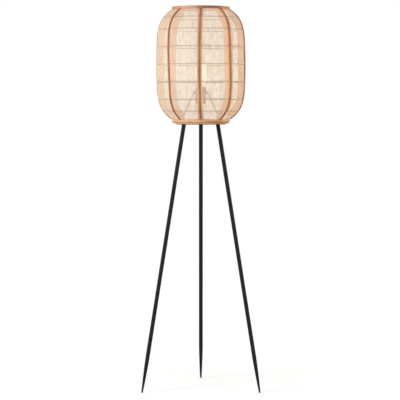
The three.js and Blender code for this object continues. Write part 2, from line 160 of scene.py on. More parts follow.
def weigh(tree, share, first, second):
    """A share of the first number, and the rest of the second."""
    return reckon(tree, "MULTIPLY_ADD", first, share, reckon(tree, "MULTIPLY", second, 1 - share))


def mix_colours(tree, share, first, second):
    """The second colour over the first, by a share. A Mix node's colours go by number."""
    inputs = {"Factor": share, mix_first: first, mix_second: second}
    return add(tree, "ShaderNodeMix", inputs, data_type="RGBA").outputs[mix_result]


def spread(tree, value, low, high, to_low=0, to_high=1):
    """A value read between two ends and laid out between two others."""
    inputs = dict(enumerate((value, low, high, to_low, to_high)))
    return add(tree, "ShaderNodeMapRange", inputs).outputs[0]


def noise_at(tree, place, scale, detail=2):
    """Soft noise at a place, from 0 to 1."""
    inputs = {"Vector": place, "Scale": scale, "Detail": detail}
    return add(tree, "ShaderNodeTexNoise", inputs).outputs[0]


def parts_of(tree, vector):
    return add(tree, "ShaderNodeSeparateXYZ", {0: vector}).outputs


def paired(tree, first, second):
    """A vector from two numbers."""
    return add(tree, "ShaderNodeCombineXYZ", {0: first, 1: second}).outputs[0]


print("a mix node takes its colours at inputs", mix_first, "and", mix_second)


# %% Colours
full_level = 255
dark_end = 0.04045
dark_slope = 12.92
curve_lift = 0.055
curve_power = 2.4


def colour(red, green, blue):
    """A colour written as it looks on a screen, from 0 to 255, for a shader."""
    def straight(level):
        share = level / full_level
        curved = ((share + curve_lift) / (1 + curve_lift)) ** curve_power
        return share / dark_slope if share <= dark_end else curved
    return (straight(red), straight(green), straight(blue), 1)


def toned(tone, *shares):
    """A colour with its red, green and blue each times a share, or all times the same one."""
    each = shares if len(shares) > 1 else shares * 3
    return [min(1, part * share) for part, share in zip(tone, each)] + [1]


print("a mid brown is", [round(part, 3) for part in colour(150, 100, 60)])

# %% [markdown]
# ## Shared effects
#
# Cane, bent wood and turned wood all have long fibres, so the fibres are one node group with
# its own inputs, placed in each wood with other numbers. The same holds for slow changes of
# tone, rubbed edges, fine grit, turning marks and dust. Each group only gives masks and
# heights. The shader that uses them stays in the material.

# %% A frame for the groups
noise_ends = (0.3, 0.7)


def new_group(name, inputs, outputs):
    """A shader node group with number outputs. An input without a number is a vector."""
    group = bpy.data.node_groups.new(name, "ShaderNodeTree")
    for label, value in inputs.items():
        kind = "NodeSocketVector" if value is None else "NodeSocketFloat"
        socket = group.interface.new_socket(label, in_out="INPUT", socket_type=kind)
        if value is not None:
            socket.default_value = value
    for label in outputs:
        group.interface.new_socket(label, in_out="OUTPUT", socket_type="NodeSocketFloat")
    return group, group.nodes.new("NodeGroupInput").outputs, group.nodes.new("NodeGroupOutput")


def use(tree, group, **inputs):
    """A placed group, with its inputs given by name."""
    return fill(add(tree, "ShaderNodeGroup", node_tree=group), **inputs).outputs


print("noise is read between", *noise_ends)


# %% Long fibres
broad_share = 0.22
streak_ends = (0.36, 0.64)
line_share = 0.5
fibre_inputs = {"Map": None, "Fibre Width": 0.0006, "Fibre Length": 0.06}


def make_fibres():
    """Streaks along a piece, from its map in metres: broad bands, and fine lines in them."""
    group, given, result = new_group("long fibres", fibre_inputs, ["Streaks", "Lines"])
    parts = parts_of(group, given["Map"])
    along = reckon(group, "DIVIDE", parts[0], given["Fibre Length"])
    across = reckon(group, "DIVIDE", parts[1], given["Fibre Width"])
    lines = noise_at(group, paired(group, along, across), 1, detail=3)
    broad_across = reckon(group, "MULTIPLY", across, broad_share)
    bands = noise_at(group, paired(group, along, broad_across), 1)
    streaks = spread(group, weigh(group, line_share, lines, bands), *streak_ends)
    fill(result, Streaks=streaks, Lines=spread(group, lines, *noise_ends))
    return group


long_fibres = make_fibres()
print("effect:", long_fibres.name)


# %% Slow tone and rubbed edges
edge_ends = (0.51, 0.56)
rub_scale = 160
rub_ends = (0.35, 0.6)
tone_inputs = {"Place": None, "Size": 0.1}
rubbed_inputs = {"Place": None, "Amount": 0.5}


def make_tone():
    """Slow change of tone over a piece, about as large as the size given."""
    group, given, result = new_group("slow tone", tone_inputs, ["Tone"])
    scale = reckon(group, "DIVIDE", 1, given["Size"])
    fill(result, Tone=spread(group, noise_at(group, given["Place"], scale), *noise_ends))
    return group


def make_rubbed():
    """Mask of the outer edges that hands and cloths rub, broken up by noise."""
    group, given, result = new_group("rubbed edges", rubbed_inputs, ["Rubbed"])
    pointed = add(group, "ShaderNodeNewGeometry").outputs["Pointiness"]
    patches = spread(group, noise_at(group, given["Place"], rub_scale, detail=3), *rub_ends)
    broken = reckon(group, "MULTIPLY", spread(group, pointed, *edge_ends), patches)
    fill(result, Rubbed=reckon(group, "MULTIPLY", broken, given["Amount"]))
    return group


slow_tone = make_tone()
rubbed_edges = make_rubbed()
print("effects:", slow_tone.name, "and", rubbed_edges.name)


# %% Fine grit, turning marks and dust
speck_scale_share = 0.2
speck_rim = (0.06, 0.12)
turning_scale = 12
turning_ends = (0.35, 0.65)
dust_scale = 70
dust_ends = (0.35, 0.75)
dust_least_upward = 0.5
grit_inputs = {"Place": None, "Size": 0.0008}
turning_inputs = {"Map": None, "Pitch": 0.0005}
dust_inputs = {"Place": None, "Amount": 0.2}


def make_grit():
    """Fine bumps of moulded, cast or powder-coated skins, and rare larger specks."""
    group, given, result = new_group("fine grit", grit_inputs, ["Grit", "Specks"])
    scale = reckon(group, "DIVIDE", 1, given["Size"])
    wide = reckon(group, "MULTIPLY", scale, speck_scale_share)
    cells = add(group, "ShaderNodeTexVoronoi", {"Vector": given["Place"], "Scale": wide})
    specks = spread(group, cells.outputs["Distance"], *speck_rim, 1, 0)
    fill(result, Grit=noise_at(group, given["Place"], scale), Specks=specks)
    return group


def make_turning():
    """Fine lines round a turned or drawn piece, from its map in metres."""
    group, given, result = new_group("turning marks", turning_inputs, ["Lines"])
    parts = parts_of(group, given["Map"])
    across = reckon(group, "DIVIDE", parts[1], given["Pitch"])
    along = reckon(group, "MULTIPLY", parts[0], turning_scale)
    noise = noise_at(group, paired(group, along, across), 1)
    fill(result, Lines=spread(group, noise, *turning_ends))
    return group


def make_dust():
    """Mask of the faces that look up, where a little dust settles."""
    group, given, result = new_group("settled dust", dust_inputs, ["Dust"])
    normal = add(group, "ShaderNodeNewGeometry").outputs["Normal"]
    level = spread(group, parts_of(group, normal)[2], dust_least_upward, 1)
    patches = spread(group, noise_at(group, given["Place"], dust_scale, detail=4), *dust_ends)
    lying = reckon(group, "MULTIPLY", level, patches)
    fill(result, Dust=reckon(group, "MULTIPLY", lying, given["Amount"]))
    return group


fine_grit = make_grit()
turning_marks = make_turning()
settled_dust = make_dust()
print("shared effects:", sorted(group.name for group in bpy.data.node_groups))

# %% [markdown]
# ## From points to pieces
#
# Nearly every part of the lamp is a section carried along a line: a rib along the barrel's
# curve, a hoop round the axis, a wire along its bends. A modifier could do the sweep, but then
# the grain would have no map to follow. So one helper takes rows of points and lays a skin
# over them. It also writes a map in metres, first along the grain and then across it, and each
# piece starts at another place of that map so that no two show the same grain.

# %% A skin over rows of points
map_name = "lay"
# The knot mark also carries painted shade on the hoops and the base ring.
knot_and_shade_mark = "knot"
sharp_angle = math.radians(38)
same_point = 1e-7
halfway = 0.5
grain_room = 9
grain_start = random.Random(7)


def running(points, closed):
    """Distances from the first point along a line of points."""
    total, far = [0.0], list(points[1:]) + ([points[0]] if closed else [])
    for here, there in zip(points, far):
        total.append(total[-1] + (there - here).length)
    return total


def skin(name, rows, ring=True, loop=False, marks=None):
    """Mesh through rows of points, with its map. A ring closes each row, a loop closes the rows."""
    count, size = len(rows), len(rows[0])
    lengthways = [row[0].lerp(row[size // 2], halfway) for row in rows]
    along, across = running(lengthways, loop), running(rows[0], ring)
    start = Vector([grain_start.uniform(0, grain_room) for _ in range(2)])
    mesh = bmesh.new()
    lay = mesh.loops.layers.uv.new(map_name)
    knot = mesh.verts.layers.float.new(knot_and_shade_mark)
    points = [[mesh.verts.new(point) for point in row] for row in rows]
    for row, mark in zip(points, marks or []):
        for vertex in row:
            vertex[knot] = mark
    for r in range(count if loop else count - 1):
        for k in range(size if ring else size - 1):
            corners = ((r, k), (r + 1, k), (r + 1, k + 1), (r, k + 1))
            face = mesh.faces.new([points[a % count][b % size] for a, b in corners])
            for (a, b), corner in zip(corners, face.loops):
                corner[lay].uv = start + Vector((along[a], across[b]))
    if ring and not loop:
        for row in (points[0], points[-1]):
            lid = mesh.faces.new(row)
            for corner in lid.loops:
                corner[lay].uv = start + Vector(((corner.vert.co - row[0].co).length, 0))
    return finish_mesh(name, mesh)


def finish_mesh(name, mesh):
    """A smooth object from a bmesh, with its faces pointing out and its true edges sharp."""
    bmesh.ops.remove_doubles(mesh, verts=mesh.verts, dist=same_point)
    bmesh.ops.recalc_face_normals(mesh, faces=mesh.faces)
    data = bpy.data.meshes.new(name)
    mesh.to_mesh(data)
    mesh.free()
    data.shade_smooth()
    data.set_sharp_from_angle(angle=sharp_angle)
    return put_in_scene(name, data)


print("edges over", round(math.degrees(sharp_angle)), "degrees stay sharp")

# %% [markdown]
# A real edge is never quite sharp. Outlines are therefore drawn by their plain corners, and a
# second helper rounds each corner a little, no further than the shorter side beside it allows.

# %% Outlines with rounded corners
most_of_side_share = 0.42
corner_steps = 3
corner_points = corner_steps + 1


def rounded(points, radius, closed=True, steps=corner_steps):
    """The outline with each corner replaced by a short curve."""
    points = [Vector(point) for point in points]
    count = len(points)
    made = []
    for k, corner in enumerate(points):
        if not closed and k in (0, count - 1):
            made.append(corner)
            continue
        before, after = points[k - 1], points[(k + 1) % count]
        reach = min(radius, most_of_side_share * min((before - corner).length, (after - corner).length))
        first = corner + (before - corner).normalized() * reach
        last = corner + (after - corner).normalized() * reach
        for step in range(steps + 1):
            share = step / steps
            made.append(first.lerp(corner, share).lerp(corner.lerp(last, share), share))
    return made


def radial(azimuth):
    """Unit vector from the lamp's axis towards an azimuth, which is 0 at the front."""
    return Vector((math.sin(azimuth), -math.cos(azimuth), 0))


def sideways(azimuth):
    """Unit vector along the rim at an azimuth."""
    return Vector((math.cos(azimuth), math.sin(azimuth), 0))


def at(azimuth, radius, height, side=0):
    """Point at a radius from the lamp's axis and a height, a step along the rim."""
    foot = Vector((axis_x, axis_y, height))
    return foot + radial(azimuth) * radius + sideways(azimuth) * side


upright = Matrix.Translation((axis_x, axis_y, 0))


def turned(name, outline, sides, change=None, closed=True, stand=upright):
    """Outline of radius and height, carried round a stand's Z axis. change may move each point."""
    rows = []
    for k in range(sides):
        azimuth = 2 * math.pi * k / sides
        row = [change(azimuth, *point) if change else tuple(point) for point in outline]
        rows.append([stand @ (radial(azimuth) * radius + Vector((0, 0, height))) for radius, height in row])
    return skin(name, rows, ring=closed, loop=True)


print("each corner gets", corner_points, "points")


# %% [markdown]
# Nearly every new piece stands for a measured one. It rides on that one's body, gets a finish,
# and hides it. The body and the node are in the model already, so one call settles all three.
# The few small pieces that weren't measured ride with a neighbour.

# %% Standing in for a measured piece
def ride_along(piece, node, finish):
    """The piece gets a finish and rides with a measured node."""
    piece.data.materials.append(finish)
    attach(piece, nodes[node]["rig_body"])
    return piece


def stand_for(piece, node, finish):
    """The piece replaces a measured node."""
    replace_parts(ride_along(piece, node, finish), node)
    return piece


def ring_sizes(node, stand=upright):
    """Bore radius, outer radius, bottom and top of a measured piece round a stand's axis."""
    back = stand.inverted()
    points = [back @ v.co for v in nodes[node].data.vertices]
    radii = [math.hypot(point.x, point.y) for point in points]
    heights = [point.z for point in points]
    return min(radii), max(radii), min(heights), max(heights)


print("top hoop:", [round(size, 4) for size in ring_sizes("top_hoop_outer")])


# %% A bare material
def new_material(name):
    """Material with one Principled shader. Returns the material, its tree and the shader."""
    material = bpy.data.materials.new(name)
    material.use_nodes = True
    return material, material.node_tree, material.node_tree.nodes["Principled BSDF"]


def read_map(tree):
    return add(tree, "ShaderNodeUVMap", uv_map=map_name).outputs[0]


def read_place(tree):
    return add(tree, "ShaderNodeTexCoord").outputs["Object"]


def raise_bumps(tree, shader, height, distance):
    """Bumps of that height in metres on the shader's normal."""
    bump = add(tree, "ShaderNodeBump", {"Height": height, "Distance": distance, "Strength": 1})
    fill(shader, Normal=bump.outputs[0])


print("every finish reads the map", map_name)


# %% [markdown]
# ## The barrel's curve
#
# The shade is a barrel: nearly straight at the waist, with shoulders that turn in towards the
# end hoops. A circle or a single arc can't do both, but a long bow added to a steep power
# curve can. Everything on the barrel is placed by a share, from -1 at the lower hoop to 1 at
# the upper one, and a depth below the gauze.

# %% The curve, fitted between the measured hoops
bow_share = 0.12
shoulder_power = 5.8
seat = 0.0003
hoop_bore, hoop_radius, upper_edge, _ = ring_sizes("top_hoop_outer")
lower_edge = ring_sizes("bottom_hoop_outer")[3]
barrel_middle = (upper_edge + lower_edge) / 2
half_barrel = (upper_edge - lower_edge) / 2
end_radius = (hoop_bore + hoop_radius) / 2
waist_radius = ring_sizes("linen_cover")[1]
bulge = waist_radius - end_radius


def barrel(share, depth):
    """Radius and height at a share of the barrel, square below the gauze by a depth."""
    rise = abs(share)
    turned_in = 1 - bow_share
    swell = 1 - bow_share * rise**2 - turned_in * rise**shoulder_power
    steepness = 2 * bow_share * rise + turned_in * shoulder_power * rise ** (shoulder_power - 1)
    slope = steepness * bulge / half_barrel
    length = math.hypot(1, slope)
    radius = end_radius + bulge * swell - depth / length
    offset = half_barrel * rise - depth * slope / length
    limit = half_barrel - seat
    if rise == 1 or offset > limit:
        radius -= (limit - offset) * slope
        offset = limit
    return radius, barrel_middle + math.copysign(offset, share)


def even_shares(count):
    """Shares from -1 to 1, closer together at the shoulders."""
    return [math.sin(math.pi / 2 * (2 * k / count - 1)) for k in range(count + 1)]


print("waist", round(waist_radius, 4), "ends", round(end_radius, 4), "height", round(2 * half_barrel, 4))

# %% [markdown]
# ## Room and light
#
# A product photograph has a white sweep and large soft lamps. Here the sky around is an even
# pale light, one large lamp stands to the front left, and a weaker one fills from the right,
# so the left side of the shade is a little paler than the right. The sweep itself must look
# white without lighting the lamp any more, so its strength is 1 only for rays that come from
# the camera, from a gloss or through glass.

# %% The sweep and the lamps
sky_level = 0.52
white = (1, 1, 1, 1)
floor_white = (0.9, 0.9, 0.9, 1)
floor_roughness = 0.9
floor_lift = 0.3
floor_far_lift = 0.5
floor_near = 0.3
floor_far = 3
floor_half = 30
# Each lamp has its place, its side, its power and its tint.
studio_lamps = {
    "key": ((-3.5, -2.7, 2.4), 1.6, 106, (1, 1, 1)),
    "fill": ((3.6, -1.7, 1.4), 1.8, 46, (1, 0.95, 0.81)),
}


def seen_directly(tree):
    """1 for rays from the camera, from a gloss or through glass, and 0 for the rest."""
    path = add(tree, "ShaderNodeLightPath").outputs
    either = reckon(tree, "MAXIMUM", path["Is Camera Ray"], path["Is Glossy Ray"])
    return reckon(tree, "MAXIMUM", either, path["Is Transmission Ray"])


def make_sky():
    world = bpy.data.worlds.new("sky")
    world.use_nodes = True
    tree = world.node_tree
    fill(tree.nodes["Background"], Color=white, Strength=spread(tree, seen_directly(tree), 0, 1, sky_level))
    bpy.context.scene.world = world


def make_floor():
    """Pale floor that keeps the lamp's shadow and meets the white sweep without an edge.

    The lamps light it less far off, so its own lift grows with the distance."""
    corners = [Vector((x, y, 0)) for x, y in ((-1, -1), (1, -1), (1, 1), (-1, 1))]
    mesh = bpy.data.meshes.new("floor")
    mesh.from_pydata([corner * floor_half for corner in corners], [], [(0, 1, 2, 3)])
    material, tree, shader = new_material("floor")
    distance = add(tree, "ShaderNodeVectorMath", {0: read_place(tree)}, operation="LENGTH")
    lift = spread(tree, distance.outputs["Value"], floor_near, floor_far, floor_lift, floor_far_lift)
    lift = reckon(tree, "MULTIPLY", seen_directly(tree), lift)
    fill(shader, Base_Color=floor_white, Roughness=floor_roughness)
    fill(shader, Emission_Color=white, Emission_Strength=lift)
    mesh.materials.append(material)
    put_in_scene("floor", mesh)


def add_lamp(name, place, side, power, tint):
    """A square soft lamp that points at the middle of the shade."""
    data = bpy.data.lights.new(name, "AREA")
    data.size, data.energy, data.color = side, power, tint
    lamp = put_in_scene(name, data)
    lamp.location = place
    aim = Vector((axis_x, axis_y, barrel_middle)) - Vector(place)
    lamp.rotation_euler = aim.to_track_quat("-Z", "Y").to_euler()


make_sky()
make_floor()
for name, lamp in studio_lamps.items():
    add_lamp(name, *lamp)
bpy.context.scene.view_settings.view_transform = "Standard"
print("lamps:", [light.name for light in bpy.data.lights])

# %% [markdown]
# ## Wood and cane
#
# Split rattan, thin cane, bent ribs and the turned base are woods with one recipe: two tones
# laid along the fibres, a slow change of tone, darker rings where a leaf grew, paler rubbed
# edges and a little dust on top. A mark on the mesh says where a ring is. The same mark carries
# the painted shade of the hoops and the base ring towards the front right, and where it is
# stronger still, the painted shade in the base ring's groove and under its flange. The recipe
# takes the tones and sizes, and each finish is one call of it. The ribs have three tones: the
# plain wood, a paler copy that paints light and a warmer copy that paints the bulb's warm light.

# %% Rubbed edges and dust over any finish
dust_roughness = 0.4


def weather(tree, shader, shown, place, dust, dust_tone, rub=0, rubbed_tone=None):
    """Rubbed edges and dust over a colour, which then goes to the shader. Returns the dust."""
    if rub:
        rubbed = use(tree, rubbed_edges, Place=place, Amount=rub)["Rubbed"]
        shown = mix_colours(tree, rubbed, shown, rubbed_tone)
    dusty = use(tree, settled_dust, Place=place, Amount=dust)["Dust"]
    fill(shader, Base_Color=mix_colours(tree, dusty, shown, dust_tone))
    return dusty


print("dust adds up to", dust_roughness, "of roughness")

# %% The recipe for wood
knot_and_shade_shares = (0.5, 0.36, 0.26)
knot_darkening = 0.55
# Where the mark passes 1.5, the wood darkens further: painted shade in the base ring's groove and under its
# flange.
groove_shade_share = 0.45
groove_shade_from = 1.5
groove_shade_full = 2.5
streak_share = 0.7
wood_rub = 0.35
wood_dust = 0.15
wood_dust_tone = colour(214, 204, 190)
rough_between_lines = 0.1
smooth_on_lines = 0.08
# Each cut has its fibres' width and length, its roughness, its relief and its gloss.
split_cut = (0.0007, 0.07, 0.5, 0.0002, 0.15)
thin_cut = (0.0005, 0.05, 0.6, 0.00012, 0.15)
slat_cut = (0.0009, 0.11, 0.6, 0.00012, 0.3)
hoop_cut = (0.0008, 0.09, 0.5, 0.0002, 0.25)
turned_cut = (0.001, 0.12, 0.6, 0.0001, 0.25)


def wood(name, pale, deep, fibre_width, fibre_length, roughness, relief, gloss):
    """Wood with long fibres in two tones."""
    material, tree, shader = new_material(name)
    lay, place = read_map(tree), read_place(tree)
    fibres = use(tree, long_fibres, Map=lay, Fibre_Width=fibre_width, Fibre_Length=fibre_length)
    tone = use(tree, slow_tone, Place=place, Size=fibre_length)["Tone"]
    shown = mix_colours(tree, weigh(tree, streak_share, fibres["Streaks"], tone), pale, deep)
    marks = add(tree, "ShaderNodeAttribute", attribute_name=knot_and_shade_mark).outputs["Fac"]
    # The darker tone serves both the knots and the painted shade.
    knot_and_shade_tone = toned(deep, *knot_and_shade_shares)
    shown = mix_colours(tree, reckon(tree, "MULTIPLY", marks, knot_darkening), shown, knot_and_shade_tone)
    # A mark stronger still paints shade into the base ring's groove and under its flange.
    groove_shade = spread(tree, marks, groove_shade_from, groove_shade_full)
    shown = mix_colours(tree, groove_shade, shown, toned(knot_and_shade_tone, groove_shade_share))
    dusty = weather(tree, shader, shown, place, wood_dust, wood_dust_tone, wood_rub, pale)
    ends = roughness + rough_between_lines, roughness - smooth_on_lines
    rough = spread(tree, fibres["Lines"], 0, 1, *ends)
    duller = reckon(tree, "MULTIPLY_ADD", dusty, dust_roughness, rough)
    fill(shader, Roughness=duller, Specular_IOR_Level=gloss)
    raise_bumps(tree, shader, fibres["Lines"], relief)
    return material


strip_cane = wood("split cane", colour(208, 140, 94), colour(122, 74, 42), *split_cut)
thin_cane = wood("thin cane", colour(164, 96, 42), colour(100, 54, 20), *thin_cut)
rib_wood = wood("bent rib wood", colour(244, 190, 138), colour(218, 150, 96), *slat_cut)
# The next two are copies of the rib wood that paint light: a warmer one paints the bulb's warm light, a
# paler one paints light on the lit ribs.
rib_wood_painted_warm_light = wood("rib wood with painted warm light", colour(252, 198, 138), colour(234, 160, 96), *slat_cut)
rib_wood_painted_light = wood("rib wood with painted light", colour(242, 200, 156), colour(220, 164, 118), *slat_cut)
hoop_cane = wood("hoop cane", colour(229, 176, 137), colour(175, 120, 81), *hoop_cut)
pale_hoop_cane = wood("pale hoop cane", colour(246, 200, 156), colour(198, 142, 100), *hoop_cut)
base_wood = wood("turned base wood", colour(242, 206, 170), colour(208, 164, 124), *turned_cut)
print("woods:", strip_cane.name, thin_cane.name, rib_wood.name, hoop_cane.name, base_wood.name)

# %% [markdown]
# ## Metal, rubber, plastic and glass
#
# The legs are powder coated: a satin black skin with the fine, soft bumps of a melted powder.
# Zinc, brass, rubber, moulded plastic and ceramic each get their own fine marks. Turned and
# drawn pieces show faint lines round their axis, which the map gives. The bulb is opal: its
# inside is coated white, and the light leaves it evenly, strongest where the filament stands.

# %% Metals
coat_grain = 0.0011
coat_patch = 0.12
coat_pale_share = 1.5
coat_rub = 0.06
coat_rub_tone = colour(74, 72, 70)
coat_dust = 0.12
coat_dust_tone = colour(150, 144, 134)
coat_smoother = 0.05
coat_rougher = 0.07
coat_gloss = 0.13
coat_relief = 0.00012
coat_roughness = 0.4
metal_line = 0.00035
metal_spot = 0.012
metal_dust = 0.2
metal_dust_tone = colour(170, 162, 150)
metal_relief = 0.00003
smoother = 0.06
rougher = 0.08
# Each metal's skin has its roughness, and how far it is tarnished.
zinc_skin = (0.3, 0.6)
brass_skin = (0.26, 0.5)


def coat_of_powder(name, tone, roughness):
    material, tree, shader = new_material(name)
    place = read_place(tree)
    grit = use(tree, fine_grit, Place=place, Size=coat_grain)["Grit"]
    patches = use(tree, slow_tone, Place=place, Size=coat_patch)["Tone"]
    shown = mix_colours(tree, patches, tone, toned(tone, coat_pale_share))
    weather(tree, shader, shown, place, coat_dust, coat_dust_tone, coat_rub, coat_rub_tone)
    rough = spread(tree, grit, *noise_ends, roughness - coat_smoother, roughness + coat_rougher)
    fill(shader, Roughness=rough, Specular_IOR_Level=coat_gloss)
    raise_bumps(tree, shader, grit, coat_relief)
    return material


def bare_metal(name, tone, worn, roughness, tarnish):
    """Turned or drawn metal with lines round its axis and a little tarnish."""
    material, tree, shader = new_material(name)
    place = read_place(tree)
    lines = use(tree, turning_marks, Map=read_map(tree), Pitch=metal_line)["Lines"]
    spots = use(tree, slow_tone, Place=place, Size=metal_spot)["Tone"]
    shown = mix_colours(tree, reckon(tree, "MULTIPLY", spots, tarnish), tone, worn)
    dusty = weather(tree, shader, shown, place, metal_dust, metal_dust_tone)
    rough = spread(tree, lines, 0, 1, roughness - smoother, roughness + rougher)
    fill(shader, Metallic=1, Roughness=reckon(tree, "ADD", rough, dusty))
    raise_bumps(tree, shader, lines, metal_relief)
    return material


black_coat = coat_of_powder("black powder coat", colour(16, 16, 17), coat_roughness)
zinc_plate = bare_metal("zinc plate", colour(196, 197, 200), colour(150, 150, 146), *zinc_skin)
brass = bare_metal("brass", colour(214, 178, 104), colour(150, 112, 62), *brass_skin)
print("metals:", black_coat.name, zinc_plate.name, brass.name)


# %% Moulded and fired pieces
moulded_patch = 0.02
moulded_rub = 0.3
moulded_rub_share = 1.8
moulded_dust = 0.25
moulded_dust_tone = colour(176, 168, 156)
speck_depth = 0.35
# Each skin has its roughness, its grain and its relief.
rubber_skin = (0.8, 0.0009, 0.00015)
plastic_skin = (0.42, 0.0007, 0.00004)
glazed_skin = (0.45, 0.0012, 0.00008)


def moulded(name, tone, other, roughness, grain, relief, rub=moulded_rub):
    """Rubber, moulded plastic or ceramic: a quiet tone, fine grain and rubbed edges."""
    material, tree, shader = new_material(name)
    place = read_place(tree)
    grit = use(tree, fine_grit, Place=place, Size=grain)
    patches = use(tree, slow_tone, Place=place, Size=moulded_patch)["Tone"]
    shown = mix_colours(tree, patches, tone, other)
    specks = reckon(tree, "MULTIPLY", grit["Specks"], speck_depth)
    shown = mix_colours(tree, specks, shown, other)
    rubbed_tone = toned(tone, moulded_rub_share)
    dusty = weather(tree, shader, shown, place, moulded_dust, moulded_dust_tone, rub, rubbed_tone)
    rough = spread(tree, grit["Grit"], *noise_ends, roughness - smoother, roughness + rougher)
    fill(shader, Roughness=reckon(tree, "MULTIPLY_ADD", dusty, dust_roughness, rough))
    raise_bumps(tree, shader, grit["Grit"], relief)
    return material


black_rubber = moulded("black rubber", colour(34, 33, 32), colour(48, 46, 44), *rubber_skin)
brown_plastic = moulded("brown thermoset", colour(80, 44, 27), colour(62, 34, 21), *plastic_skin)
dark_plastic = moulded("dark thermoset", colour(48, 36, 30), colour(36, 27, 22), *plastic_skin)
white_ceramic = moulded("white ceramic", colour(232, 229, 220), colour(216, 210, 196), *glazed_skin, rub=0)
print("moulded:", black_rubber.name, brown_plastic.name, dark_plastic.name, white_ceramic.name)


# %% Glass and the lit coil
glow_power = 1.04
glow_full = (1.0, 0.95, 0.72, 1)
glow_low = (0.5, 0.36, 0.2, 1)
glow_below_top = 0.033
glow_reach = 0.06
glow_cloud = (-0.04, 0.04)
opal_cloud = 0.02
opal_pale = colour(238, 228, 208)
opal_deep = colour(228, 214, 190)
opal_roughness = (0.18, 0.3)
glass_cloud = 0.01
glass_pale = (0.97, 0.98, 0.97, 1)
glass_deep = (0.9, 0.93, 0.91, 1)
glass_roughness = (0.02, 0.08)
glass_clearness = 0.95
glass_bending = 1.5
coil_line = 0.0003
coil_dim = (1, 0.62, 0.25, 1)
coil_bright = (1, 0.8, 0.45, 1)
coil_power = 4
coil_relief = 0.0001
glow_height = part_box("bulb_glass")[1].z - glow_below_top


def make_opal():
    """Opal glass: white skin under a gloss, lit from inside, strongest round the filament."""
    material, tree, shader = new_material("opal glass")
    place = read_place(tree)
    height = parts_of(tree, place)[2]
    away = reckon(tree, "ABSOLUTE", reckon(tree, "SUBTRACT", height, glow_height))
    fall = spread(tree, away, 0, glow_reach)
    cloud = use(tree, slow_tone, Place=place, Size=opal_cloud)["Tone"]
    shaded = reckon(tree, "ADD", fall, spread(tree, cloud, 0, 1, *glow_cloud))
    fill(shader, Emission_Color=mix_colours(tree, shaded, glow_full, glow_low))
    fill(shader, Emission_Strength=glow_power)
    fill(shader, Base_Color=mix_colours(tree, cloud, opal_pale, opal_deep))
    fill(shader, Roughness=spread(tree, cloud, 0, 1, *opal_roughness))
    return material


def make_clear_glass():
    material, tree, shader = new_material("clear glass")
    cloud = use(tree, slow_tone, Place=read_place(tree), Size=glass_cloud)["Tone"]
    fill(shader, Transmission_Weight=glass_clearness, IOR=glass_bending)
    fill(shader, Base_Color=mix_colours(tree, cloud, glass_pale, glass_deep))
    fill(shader, Roughness=spread(tree, cloud, 0, 1, *glass_roughness))
    return material


def make_lit_coil():
    material, tree, shader = new_material("lit coil")
    turns = use(tree, turning_marks, Map=read_map(tree), Pitch=coil_line)["Lines"]
    glow = mix_colours(tree, turns, coil_dim, coil_bright)
    fill(shader, Emission_Color=glow, Base_Color=glow, Emission_Strength=coil_power)
    raise_bumps(tree, shader, turns, coil_relief)
    return material


opal_glass, clear_glass, lit_coil = make_opal(), make_clear_glass(), make_lit_coil()
print("bulb glows round", round(glow_height, 3), "m above the floor")

# %% [markdown]
# ## Gauze
#
# The cover is an open plain weave of natural yarn. Three things happen to light on it: some
# goes straight through the gaps, some is sent back by the yarn, and some soaks through the
# yarn and comes out warmer. An opaque cloth colour would hide the ribs, and plain alpha would
# lose the glow, so the yarn is about half a normal surface and half a translucent one, and the
# weave's own gaps are left open. Thick and thin yarns make the faint upright streaks.

# %% The weave and its finish
slub_length_scale = 22
slub_gather_share = 0.35
slub_ends = (0.38, 0.62)
slub_deep_ends = (0.5, 0.66)
cross_yarn_share = 0.12
yarn_edge_steepness = 2.6
weave_inputs = {"Map": None, "Pitch": 0.0014, "Yarn Share": 0.36, "Unevenness": 0.16}


def make_weave():
    """Share of the surface that yarn covers, the yarn's height, and its thick places."""
    group, given, result = new_group("plain weave", weave_inputs, ["Cover", "Height", "Slubs"])
    parts = parts_of(group, given["Map"])
    covers, heights, slubs = [], [], []
    for across, along, uneven_share in ((0, 1, 1), (1, 0, cross_yarn_share)):
        place = reckon(group, "DIVIDE", parts[across], given["Pitch"])
        gathered = reckon(group, "MULTIPLY", place, slub_gather_share)
        run = reckon(group, "MULTIPLY", parts[along], slub_length_scale)
        noise = noise_at(group, paired(group, gathered, run), 1, detail=1)
        uneven = reckon(group, "MULTIPLY", given["Unevenness"], uneven_share)
        thick = reckon(group, "MULTIPLY", spread(group, noise, *slub_ends, -1, 1), uneven)
        wave = reckon(group, "COSINE", reckon(group, "MULTIPLY", place, 2 * math.pi))
        wave = spread(group, wave, -1, 1)
        edge = reckon(group, "SUBTRACT", reckon(group, "SUBTRACT", 1, given["Yarn Share"]), thick)
        inside = reckon(group, "SUBTRACT", wave, edge)
        covers.append(reckon(group, "MULTIPLY_ADD", inside, yarn_edge_steepness, halfway))
        heights.append(wave)
        slubs.append(spread(group, noise, *slub_deep_ends))
    cover = spread(group, reckon(group, "MAXIMUM", *covers), 0, 1)
    fill(result, Cover=cover, Height=reckon(group, "MAXIMUM", *heights), Slubs=slubs[0])
    return group


plain_weave = make_weave()
yarn_pale = colour(255, 251, 241)
yarn_deep = colour(238, 221, 194)
yarn_through = colour(255, 247, 230)
through_share = 0.45
slub_share = 0.85
gauze_patch = 0.2
yarn_roughness = 0.9
yarn_sheen = 0.15
yarn_relief = 0.0003


def mix_shaders(tree, share, first, second):
    """The second shader over the first, by a share."""
    inputs = {0: share, 1: first.outputs[0], 2: second.outputs[0]}
    return add(tree, "ShaderNodeMixShader", inputs)


